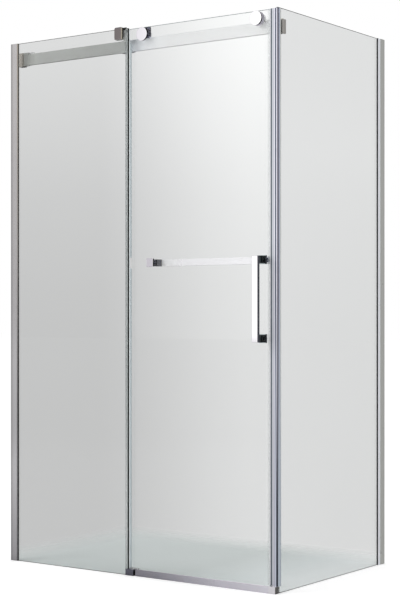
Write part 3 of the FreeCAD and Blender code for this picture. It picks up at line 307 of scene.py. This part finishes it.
def clear_plastic(name, piece, stripes, sides=None, low=None):
    """Clear extruded plastic for a piece, with faint flow lines along it and stripes across it, which on
    the edge, side and door seals are painted light and shade.

    stripes go by X, sides by Y on the faces that look along X, and low is the stripes near the floor,
    or a colour that darkens them there, as painted light and shade near the floor."""
    material, tree, shader = new_material(name)
    lines = noise(tree, object_point(tree), FLOW_SCALE, detail=2.0, stretch=FLOW_STRETCH)
    colour, alpha = bands(tree, piece, "X", stripes)
    if sides:
        side_colour, side_alpha = bands(tree, piece, "Y", sides)
        mask = facing(tree, "X")
        colour = mix_colours(tree, mask, colour, side_colour)
        alpha = mix_colours(tree, mask, alpha, side_alpha)
    if low:
        striped = isinstance(low, list)
        below = bands(tree, piece, "X", low)[0] if striped else scaled(tree, colour, low)
        up = parts_of(tree, object_point(tree))["Z"]
        colour = mix_colours(tree, blend(tree, up, LOW_FROM, LOW_FULL), colour, below)
    flow = mix_colours(tree, lines, level(FLOW_DARKEST), WHITE)
    tree.links.new(scaled(tree, colour, flow), shader.inputs["Base Color"])
    tree.links.new(varied(tree, SEAL_ROUGHNESS, lines, PLASTIC_SPAN), shader.inputs["Roughness"])
    tree.links.new(maths(tree, "ADD", maths(tree, "MULTIPLY", lines, FLOW_ALPHA), alpha),
                   shader.inputs["Alpha"])
    shader.inputs["IOR"].default_value = IOR
    return material


SPECK_SCALE = 120.0
SPECK_SPREAD = 0.05        # of the colour, up and down
SPECK_BUMP = (0.08, 0.0002)   # strength, and depth in metres


def plastic(name, colour, roughness):
    """Plain plastic or rubber with fine specks."""
    material, tree, shader = new_material(name)
    speck = noise(tree, object_point(tree), SPECK_SCALE, detail=4.0)
    dark = (*(c * (1 - SPECK_SPREAD) for c in colour[:3]), 1.0)
    light = (*(min(1.0, c * (1 + SPECK_SPREAD)) for c in colour[:3]), 1.0)
    tree.links.new(mix_colours(tree, speck, dark, light), shader.inputs["Base Color"])
    tree.links.new(varied(tree, roughness, speck, PLASTIC_SPAN), shader.inputs["Roughness"])
    tree.links.new(bump(tree, speck, *SPECK_BUMP), shader.inputs["Normal"])
    shader.inputs["IOR"].default_value = IOR
    return material


def dress(material, *pieces):
    """Put a material in every slot of the pieces."""
    for piece in pieces:
        for slot in nodes[piece].material_slots:
            slot.material = material


# ---- Panes --------------------------------------------------------------------------------

# each pane's edges are painted a darker tone of their own, as painted shade
dress(glass("fixed_glass", ("X", "Z"), linear(3, 6, 6)), "fixed_pane")
dress(glass("door_glass", ("X", "Z"), linear(128, 138, 140)), "door_pane")
dress(glass("side_glass", ("Y", "Z"), linear(24, 30, 32)), "side_pane")
for name in ("fixed_pane", "door_pane", "side_pane"):
    nodes[name].visible_shadow = False   # lamps shine through the glass


# ---- Handle, towel rail and rollers -------------------------------------------------------

CHROME = linear(246, 244, 247)
SHADE_BLACK = linear(22, 22, 26)
SHADE_NAVY = linear(62, 68, 90)
DEEP_SHADE_NAVY = linear(42, 45, 58)
# pale colour of the faces that look into the enclosure, which are not metallic
PALE_BACK = level(0.95)
BAR_DEPTH = 0.012          # of the handle's bar and of the towel rail's

# the caps' and the button's sides and their top and bottom faces are painted black, as painted shade
dress(metal("chrome", CHROME, 0.05, sides=SHADE_BLACK, side_from=0.4, level_faces=SHADE_BLACK, backs=PALE_BACK),
      "roller_cap_left", "roller_cap_right", "handle_inner_button")

HANDLE_FRONT, ROSE_FACE = span("pull_handle", "Y")
BAR_BACK = HANDLE_FRONT + BAR_DEPTH
# the handle's sides are painted dark grey, darker again towards the rose, as painted shade
BAR_SIDE_SHADE = linear(90, 92, 96)
dress(metal("handle_chrome", CHROME, 0.05,
            sides=[(HANDLE_FRONT, BAR_SIDE_SHADE), (BAR_BACK - EDGE_BLEND, BAR_SIDE_SHADE),
                   (BAR_BACK + EDGE_BLEND, linear(60, 66, 62)), (ROSE_FACE, linear(36, 38, 40))]),
      "pull_handle")
# the roses' sides are painted darker, as painted shade
dress(metal("rose_chrome", linear(150, 158, 158), 0.08, sides=linear(70, 72, 78)), "handle_roses")

# the towel rail's left post is painted dark navy on its front and sides, as painted shade; its bar is
# painted white and not metallic at first, as painted light, and is then chrome
TOWEL_LEFT, TOWEL_RIGHT = span("towel_rail", "X")
NECK_END, BAR_REAR = span("towel_rail", "Y")
POST_RIGHT = TOWEL_LEFT + 0.0238   # just short of the post's right side
BAR_FRONT = BAR_REAR - BAR_DEPTH
TOWEL_TONES = [(TOWEL_LEFT, DEEP_SHADE_NAVY), (POST_RIGHT, DEEP_SHADE_NAVY), (POST_RIGHT + EDGE_BLEND, WHITE),
               (POST_RIGHT + 0.085, CHROME), (TOWEL_RIGHT, CHROME)]
TOWEL_METALLIC = [(TOWEL_LEFT, 0.9), (POST_RIGHT - EDGE_BLEND, 0.9), (POST_RIGHT, 0.0),
                  (POST_RIGHT + 0.055, 0.0), (POST_RIGHT + 0.095, 0.9), (TOWEL_RIGHT, 1.0)]
TOWEL_SIDES = [(NECK_END, DEEP_SHADE_NAVY), (BAR_FRONT - EDGE_BLEND, DEEP_SHADE_NAVY), (BAR_FRONT, WHITE),
               (BAR_REAR, WHITE)]
dress(metal("towel_rail_chrome", TOWEL_TONES, 0.25, axis="X", metallic=TOWEL_METALLIC,
            sides=TOWEL_SIDES), "towel_rail")
# the outer cap's sides are painted black, as painted shade, and its rounded edge white, as a painted
# highlight
dress(metal("towel_cap_chrome", linear(200, 196, 204), 0.2, metallic=0.3, sides=SHADE_BLACK, side_from=0.9,
            bevels=WHITE, backs=PALE_BACK), "towel_outer_cap")
# the necks are painted navy, as painted shade
dress(metal("neck_painted_shade", SHADE_NAVY, 0.08), "towel_necks")

# the hub's side is painted dark next to the door, as a painted shadow
HUB_FOOT, HUB_FACE = span("roller_hub_right", "Y")
HUB_STEP = HUB_FOOT + 0.0013       # where the dark ends
HUB_SHADOW = linear(48, 44, 48)
HUB_PALE = linear(226, 220, 234)
# the carrier's front is painted dark navy, as painted shade, and its sides pale, as painted light
dress(metal("carrier_metal", linear(78, 78, 102), 0.1, sides=linear(190, 192, 215)), "roller_carrier_left")
dress(metal("hub_metal", HUB_PALE, 0.3, metallic=0.25,
            sides=[(HUB_FOOT, HUB_SHADOW), (HUB_STEP, HUB_SHADOW),
                   (HUB_STEP + EDGE_BLEND, linear(214, 208, 222)), (HUB_FACE, HUB_PALE)]),
      "roller_hub_right")
dress(metal("wheel_white", linear(250, 250, 250), 0.4, metallic=0.2), "wheel_flanges_left",
      "wheel_flanges_right")
dress(metal("wheel_steel", linear(215, 215, 218), 0.25, metallic=0.6), "wheel_bearing_left",
      "wheel_bearing_right", "roller_axle_left", "roller_axle_right")


# ---- Clamps, brackets and screws ----------------------------------------------------------

# the clamp block's sides are painted near black, as painted shade, and its rounded edges pale, as a painted
# highlight
dress(metal("satin_nickel", linear(140, 133, 132), 0.1, sides=linear(30, 28, 28), side_from=0.9,
            bevels=linear(190, 184, 166)), "clamp_block")

# the arm's plate is painted pale, as painted light, and its bridge over the door near black, as painted
# shade
PLATE_FOOT, BRIDGE_TOP = span("rail_arm", "Z")
SHADE_FROM = BRIDGE_TOP - 0.0095    # just under the bridge
PLATE_LIGHT = linear(214, 217, 214)
BRIDGE_SHADE = linear(12, 12, 12)
dress(metal("arm_metal", [(PLATE_FOOT, PLATE_LIGHT), (SHADE_FROM - EDGE_BLEND, PLATE_LIGHT),
                          (SHADE_FROM + EDGE_BLEND, BRIDGE_SHADE), (BRIDGE_TOP, BRIDGE_SHADE)], 0.3,
            metallic=0.1), "rail_arm")
dress(metal("bracket_metal", linear(205, 200, 190), 0.2, metallic=0.8), "rail_wall_bracket")
dress(metal("socket_metal", linear(225, 220, 212), 0.12), "rail_side_socket")
dress(metal("side_plate_metal", linear(176, 173, 168), 0.3, metallic=0.3), "rail_side_plate")
# the guide block's sides are painted darker, as painted shade
dress(metal("dark_chrome_block", linear(108, 108, 118), 0.15, sides=linear(40, 40, 44)), "guide_block")
# the corner cap's sides are painted darker, as painted shade
dress(metal("corner_cap_metal", linear(248, 245, 249), 0.1, metallic=0.6, sides=linear(108, 106, 104)),
      "corner_cap")
dress(metal("screw_steel", linear(175, 175, 180), 0.2), "profile_lock_screws", "rail_grub_screws",
      "clamp_bolts", "saddle_screws", "through_bolts", "roller_end_screws")


# ---- Rail, threshold and profiles ---------------------------------------------------------

# the rail is painted grey behind the fixed pane, as painted shade, and white from there on, as painted
# light, with its level faces darker towards the left; it is most metallic between the rollers
RAIL_LEFT, RAIL_RIGHT = span("rail", "X")
CLEAR_OF_PANE = span("fixed_pane", "X")[1] - 0.03   # where the camera sees it past the pane's edge
LEFT_CAP_END, RIGHT_CAP_START = span("roller_cap_left", "X")[1], span("roller_cap_right", "X")[0]
RAIL_LIGHT_AND_SHADE = [(RAIL_LEFT, linear(218, 220, 215)), (RAIL_LEFT + 0.045, linear(204, 206, 201)),
              (RAIL_LEFT + 0.095, linear(188, 190, 187)), (CLEAR_OF_PANE - 0.135, linear(182, 184, 181)),
              (CLEAR_OF_PANE - 0.005, linear(180, 183, 180)), (CLEAR_OF_PANE + 0.01, linear(240, 244, 250)),
              (CLEAR_OF_PANE + 0.065, linear(250, 252, 255)), (CLEAR_OF_PANE + 0.165, WHITE),
              (RAIL_RIGHT, WHITE)]
RAIL_METALLIC = [(RAIL_LEFT, 0.165), (RAIL_LEFT + 0.085, 0.25), (CLEAR_OF_PANE - 0.135, 0.35),
                 (CLEAR_OF_PANE + 0.005, 0.35), (LEFT_CAP_END + 0.04, 0.3), (LEFT_CAP_END + 0.1, 0.94),
                 (RIGHT_CAP_START - 0.006, 0.94), (RIGHT_CAP_START + 0.044, 0.45), (RAIL_RIGHT, 0.45)]
RAIL_LEVEL_LIGHT_AND_SHADE = [(RAIL_LEFT, linear(121, 121, 119)), (CLEAR_OF_PANE + 0.005, linear(150, 152, 150)),
                    (CLEAR_OF_PANE + 0.015, linear(220, 222, 226)), (RAIL_RIGHT, WHITE)]
dress(metal("rail_steel", RAIL_LIGHT_AND_SHADE, 0.4, axis="X", drawn="X", metallic=RAIL_METALLIC,
            level_faces=RAIL_LEVEL_LIGHT_AND_SHADE), "rail", "rail_saddle", "rail_stop_left", "rail_stop_right")

# the threshold is painted brighter towards the corner, as painted light
THRESHOLD_LEFT, THRESHOLD_RIGHT = span("threshold", "X")
THRESHOLD_LIGHT = [(THRESHOLD_LEFT, linear(160, 158, 166)), (THRESHOLD_LEFT + 0.1, linear(172, 170, 178)),
                   (THRESHOLD_LEFT + 0.38, linear(227, 224, 233)), (THRESHOLD_RIGHT, linear(240, 237, 245))]
THRESHOLD_METALLIC = [(THRESHOLD_LEFT, 1.0), (THRESHOLD_LEFT + 0.1, 0.95), (THRESHOLD_LEFT + 0.38, 0.7),
                      (THRESHOLD_RIGHT, 0.6)]
dress(metal("threshold_metal", THRESHOLD_LIGHT, 0.15, axis="X", drawn="X", metallic=THRESHOLD_METALLIC),
      "threshold")

# the left profile is painted darker towards its outer side and towards the floor, and its channel towards
# the floor, as painted shade
OUTER_SIDE, _ = span("wall_profile_left", "X")
PROFILE_FOOT, PROFILE_TOP = span("wall_profile_left", "Z")
PROFILE_SHADE = [(PROFILE_FOOT, linear(165, 163, 165)), (0.9, linear(226, 225, 225)),
                 (PROFILE_TOP, linear(255, 254, 253))]
OUTER_SIDE_SHADE = [(OUTER_SIDE, level(0.5)), (OUTER_SIDE + 0.005, level(0.7)),
                   (OUTER_SIDE + 0.011, level(0.95)), (OUTER_SIDE + 0.043, WHITE)]
CHANNEL_SHADE = [(PROFILE_FOOT, linear(130, 130, 130)), (0.6, linear(140, 140, 138)),
                 (1.1, linear(190, 186, 182)), (PROFILE_TOP, linear(200, 192, 180))]
dress(metal("profile_metal", PROFILE_SHADE, 0.12, drawn="Z", across=OUTER_SIDE_SHADE), "wall_profile_left")
dress(metal("left_channel_metal", CHANNEL_SHADE, 0.12, drawn="Z"), "glazing_channel_left")
dress(metal("back_profile_metal", linear(190, 191, 187), 0.3, metallic=0.2, drawn="Z"),
      "wall_profile_right")
# the back channel's fronts are painted black, as painted shade
dress(metal("back_channel_metal", linear(246, 248, 254), 0.3, metallic=0.2, fronts=SHADE_BLACK, drawn="Z"),
      "glazing_channel_right")

# the rail and the towel rail mirror none of the small fittings beside them
UNMIRRORED = ("roller_cap_left", "roller_cap_right", "roller_carrier_left", "roller_hub_right",
              "wheel_flanges_left", "wheel_flanges_right", "wheel_tyre_left", "wheel_tyre_right",
              "roller_axle_left", "roller_axle_right", "clamp_bolts", "rail_arm", "towel_outer_cap",
              "towel_necks", "door_gaskets")
for name in UNMIRRORED:
    nodes[name].visible_glossy = False
    nodes[name].visible_diffuse = False
    nodes[name].visible_shadow = False


# ---- Seals, rubber and nylon --------------------------------------------------------------

# the pane edge seal is painted in stripes of light and shade: white for its painted highlights, greyer
# where it is shaded
EDGE_SEAL_HIGHLIGHT = linear(244, 252, 255)
edge_seal_plastic = clear_plastic(
    "edge_seal_plastic", "pane_edge_seal",
    [(0, linear(160, 166, 166), 0.25), (0.0075, linear(218, 224, 222), 0.55),
     (0.0138, EDGE_SEAL_HIGHLIGHT, 1.0), (0.016, EDGE_SEAL_HIGHLIGHT, 1.0)],
    sides=[(0, EDGE_SEAL_HIGHLIGHT, 1.0), (0.0038, linear(196, 208, 212), 0.85),
           (0.0116, linear(208, 218, 216), 0.85)])
dress(edge_seal_plastic, "pane_edge_seal")

# each magnetic seal is painted with a dark stripe of painted shade between paler lips with painted
# highlights; near the floor the side seal's stripes change and the door seal's darken, as painted light and
# shade
side_seal_plastic = clear_plastic(
    "side_seal_plastic", "side_seal",
    [(0, linear(205, 205, 217), 0.9), (0.004, linear(236, 237, 246), 0.92),
     (0.0079, linear(44, 50, 84), 0.96), (0.0132, linear(232, 234, 246), 0.92),
     (0.0166, linear(128, 126, 137), 0.85), (0.0212, linear(128, 126, 137), 0.85)],
    sides=[(0, linear(108, 111, 128), 0.8), (0.0052, linear(186, 193, 210), 0.8),
           (0.0115, linear(225, 228, 225), 0.5), (0.0182, linear(225, 228, 225), 0.5)],
    low=[(0, linear(196, 194, 206), 1.0), (0.004, linear(176, 179, 190), 1.0),
         (0.0079, linear(196, 200, 214), 1.0), (0.0132, linear(50, 56, 68), 1.0),
         (0.0166, linear(30, 38, 52), 1.0), (0.0212, linear(190, 200, 212), 1.0)])
dress(side_seal_plastic, "side_seal")
door_seal_plastic = clear_plastic(
    "door_seal_plastic", "door_seal",
    [(0, linear(220, 224, 226), 0.12), (0.009, linear(235, 236, 242), 0.9),
     (0.0116, linear(38, 50, 64), 0.96), (0.0162, linear(205, 210, 218), 0.9),
     (0.0206, linear(205, 208, 218), 0.9)], low=level(0.78))
dress(door_seal_plastic, "door_seal")

threshold_seal_plastic = clear_plastic(
    "threshold_seal_plastic", "threshold_seal",
    [(0, linear(215, 218, 222), 0.46), (0.5625, linear(225, 226, 232), 0.46)])
dress(threshold_seal_plastic, "threshold_seal")
buffer_plastic = clear_plastic(
    "buffer_plastic", "stop_buffers",
    [(0, linear(225, 226, 226), 0.4), (1.1025, linear(235, 236, 238), 0.4)])
dress(buffer_plastic, "stop_buffers")
dress(plastic("magnet_strip", linear(186, 184, 200), 0.5), "side_magnet", "door_magnet")
dress(plastic("black_rubber", linear(12, 12, 14), 0.8), "glazing_gasket_left", "glazing_gasket_right",
      "clamp_pads")
dress(plastic("pale_rubber", linear(236, 236, 240), 0.7), "door_gaskets")
dress(plastic("white_nylon", linear(228, 228, 226), 0.45), "pane_bushes", "door_bushes", "guide_liner",
      "wheel_tyre_left", "wheel_tyre_right", "profile_screw_caps")


# ---- Camera -------------------------------------------------------------------------------

EYE = (3.7981, -4.0954, 0.9311)   # from the left side, the fixed pane's outer face, and the floor
EYE_TURN = 35.526              # degrees to the left of straight ahead
LEVEL_LOOK = 90                # degrees up from straight down
FRAME_HEIGHT = 600             # rows
FOCAL_ROWS = 1463.3
HORIZON_ROW = 313.87
SENSOR = 36.0                  # millimetres
FAR_CLIP = 200.0

camera_data = bpy.data.cameras.new("camera")
camera_data.sensor_fit = "VERTICAL"
camera_data.sensor_height = SENSOR
camera_data.lens = FOCAL_ROWS * SENSOR / FRAME_HEIGHT
camera_data.shift_y = (HORIZON_ROW - FRAME_HEIGHT / 2) / FRAME_HEIGHT
camera_data.clip_end = FAR_CLIP
camera = bpy.data.objects.new("camera", camera_data)
camera.location = (EYE[0] + OUTER_SIDE, EYE[1] + span("fixed_pane", "Y")[0], EYE[2])
camera.rotation_euler = (math.radians(LEVEL_LOOK), 0, math.radians(EYE_TURN))
bpy.context.scene.collection.objects.link(camera)
bpy.context.scene.camera = camera
bpy.context.scene.view_settings.view_transform = "Standard"


# ---- World --------------------------------------------------------------------------------

AMBIENT = level(0.82)      # on plain surfaces

# what metal mirrors, by the turn round the object: 0 and 1 are behind it, 0.5 in front, 0.25 on its left
MIRRORED = [(0.00, linear(96, 96, 104)), (0.12, linear(150, 150, 156)), (0.25, linear(205, 205, 208)),
            (0.35, linear(188, 186, 188)), (0.3922, linear(192, 190, 191)),
            (0.3936, linear(240, 238, 242)), (0.400, level(1.3)), (0.45, level(1.5)), (0.55, WHITE),
            (0.68, linear(200, 200, 205)), (0.80, linear(110, 108, 116)), (0.88, linear(44, 44, 50)),
            (0.93, linear(56, 56, 62)), (1.00, linear(96, 96, 104))]

# the backdrop that shows through the glass is paler towards the top (0 is straight down, 1 up) ...
FRONT_PANES = [(0.0, level(0.74)), (0.447, level(0.755)), (0.4945, level(0.785)), (0.508, level(0.80)),
               (0.539, level(0.86)), (0.589, level(1.03)), (0.66, level(1.1)), (1.0, level(1.15))]
SIDE_PANE = [(0.0, level(0.80)), (0.447, level(0.81)), (0.4945, level(0.82)), (0.508, level(0.825)),
             (0.539, level(0.85)), (0.556, level(0.87)), (0.589, level(0.855)), (1.0, level(0.9))]
# ... and, through the front panes, towards the right (by the turn)
FRONT_BY_TURN = [(0.0, level(0.9)), (0.07, WHITE), (0.0925, level(0.99)), (0.0987, level(0.90)),
                 (0.104, level(0.79)), (0.1075, level(0.76)), (0.13, level(0.76)), (0.22, level(0.9)),
                 (1.0, level(0.9))]
# turns between which the backdrop goes over to the side pane's, to what metal mirrors, and to the right's
SIDE_PANE_FROM, SIDE_PANE_FULL = 0.0917, 0.0902
MIRRORED_FROM, MIRRORED_FULL = 0.22, 0.32
RIGHT_FROM, RIGHT_FULL = 0.68, 0.78
RIGHT_SHARE = level(0.95)


def studio_world():
    """Surroundings for metal to mirror, paler ones past the glass, and plain white for the camera."""
    world = bpy.data.worlds.new("studio")
    bpy.context.scene.world = world
    world.use_nodes = True
    tree = world.node_tree
    tree.nodes.clear()
    output = tree.nodes.new("ShaderNodeOutputWorld")
    background = tree.nodes.new("ShaderNodeBackground")
    tree.links.new(background.outputs[0], output.inputs["Surface"])
    path = tree.nodes.new("ShaderNodeLightPath")
    towards = parts_of(tree, tree.nodes.new("ShaderNodeTexCoord").outputs["Generated"])
    height = blend(tree, towards["Z"], -1.0, 1.0)
    angle = maths(tree, "ARCTAN2", towards["X"], maths(tree, "MULTIPLY", towards["Y"], -1.0))
    turn = blend(tree, angle, -math.pi, math.pi)

    mirrored = ramp(tree, turn, MIRRORED)
    front_panes = ramp(tree, height, FRONT_PANES)
    behind = mix_colours(tree, blend(tree, turn, SIDE_PANE_FROM, SIDE_PANE_FULL),
                         scaled(tree, front_panes, ramp(tree, turn, FRONT_BY_TURN)),
                         ramp(tree, height, SIDE_PANE))
    through = mix_colours(tree, blend(tree, turn, MIRRORED_FROM, MIRRORED_FULL), behind, mirrored)
    # on the right the glass shows the same pale backdrop, and not the dark that metal mirrors
    through = mix_colours(tree, blend(tree, turn, RIGHT_FROM, RIGHT_FULL), through,
                          scaled(tree, front_panes, RIGHT_SHARE))
    colour = mix_colours(tree, path.outputs["Is Glossy Ray"], AMBIENT, mirrored)
    colour = mix_colours(tree, path.outputs["Is Transmission Ray"], colour, through)
    colour = mix_colours(tree, path.outputs["Is Camera Ray"], colour, WHITE)
    tree.links.new(colour, background.inputs["Color"])


studio_world()


# ---- Lamps and floor ----------------------------------------------------------------------

LAMP_TARGET = (0, 0, 1.0)


def area_light(name, location, size, power):
    data = bpy.data.lights.new(name, "AREA")
    data.shape = "RECTANGLE"
    data.size, data.size_y = size
    data.energy = power
    light = bpy.data.objects.new(name, data)
    light.location = location
    aim = [t - l for t, l in zip(LAMP_TARGET, location)]
    light.rotation_euler = (math.atan2(math.hypot(aim[0], aim[1]), -aim[2]), 0,
                            math.atan2(aim[1], aim[0]) - math.pi / 2)
    light.visible_glossy = False         # metal and glass mirror the world instead
    light.visible_transmission = False
    bpy.context.scene.collection.objects.link(light)


area_light("key", (-2.5, -4.0, 3.2), (2.5, 2.0), 60)
area_light("fill", (4.0, -2.0, 2.5), (2.0, 2.0), 30)

REACH = 40.0                   # middle of the floor to its edges
FLOOR_DROP = 0.0005            # floor below the object's lowest faces
FLOOR_TONE = linear(240, 240, 240)
FLOOR_ROUGHNESS = 0.9
FLOOR_GLOW = 0.3               # towards the camera, which brings the floor up to the white backdrop
# metal mirrors a floor with painted light: pale towards the front left and dark away from it
FLOOR_DARK, FLOOR_PALE = linear(40, 40, 44), linear(236, 236, 238)   # as metal mirrors it
PALE_TOWARDS = (-0.58, -0.81)  # ground direction in which the mirrored floor turns pale
DARK_AT, PALE_AT = -1.2, 0.8   # metres that way
# the floor through the glass, with painted shade under the object that pales towards the right, by X, and
# how far from the middle it shows before the backdrop takes over
SEEN_FLOOR_SHADE = [(-0.6, linear(206, 212, 211)), (0.1, linear(208, 214, 213)),
              (0.35, linear(228, 234, 234)), (0.6, linear(252, 255, 255))]
SEEN_HALF_WIDTH, SEEN_HALF_DEPTH = 0.56, 0.36
SEEN_BLEND = 0.25


def floor_material():
    material, tree, shader = new_material("floor")
    path = tree.nodes.new("ShaderNodeLightPath")
    place = parts_of(tree, object_point(tree))
    ahead = maths(tree, "ADD", maths(tree, "MULTIPLY", place["X"], PALE_TOWARDS[0]),
                  maths(tree, "MULTIPLY", place["Y"], PALE_TOWARDS[1]))
    mirrored = mix_colours(tree, blend(tree, ahead, DARK_AT, PALE_AT), FLOOR_DARK, FLOOR_PALE)
    tone = mix_colours(tree, path.outputs["Is Glossy Ray"], FLOOR_TONE, mirrored)
    tone = mix_colours(tree, path.outputs["Is Transmission Ray"], tone, along(tree, "X", SEEN_FLOOR_SHADE))
    tree.links.new(tone, shader.inputs["Base Color"])
    shader.inputs["Roughness"].default_value = FLOOR_ROUGHNESS
    shader.inputs["Specular IOR Level"].default_value = 0.0
    shader.inputs["Emission Color"].default_value = WHITE
    tree.links.new(maths(tree, "MULTIPLY", path.outputs["Is Camera Ray"], FLOOR_GLOW),
                   shader.inputs["Emission Strength"])
    # through the glass the floor's painted shade is seen near the object and melts into the backdrop
    # further off
    over_x = maths(tree, "SUBTRACT", maths(tree, "ABSOLUTE", place["X"]), SEEN_HALF_WIDTH)
    over_y = maths(tree, "SUBTRACT", maths(tree, "ABSOLUTE", place["Y"]), SEEN_HALF_DEPTH)
    far = blend(tree, maths(tree, "MAXIMUM", over_x, over_y), 0.0, SEEN_BLEND)
    far = maths(tree, "MULTIPLY", far, path.outputs["Is Transmission Ray"])
    mix_shaders(tree, far, shader, tree.nodes.new("ShaderNodeBsdfTransparent"))
    return material


floor_mesh = bpy.data.meshes.new("floor")
corners = [(-REACH, -REACH, 0), (REACH, -REACH, 0), (REACH, REACH, 0), (-REACH, REACH, 0)]
floor_mesh.from_pydata(corners, [], [(0, 1, 2, 3)])
floor = bpy.data.objects.new("floor", floor_mesh)
floor.location.z = -FLOOR_DROP
bpy.context.scene.collection.objects.link(floor)
floor_mesh.materials.append(floor_material())
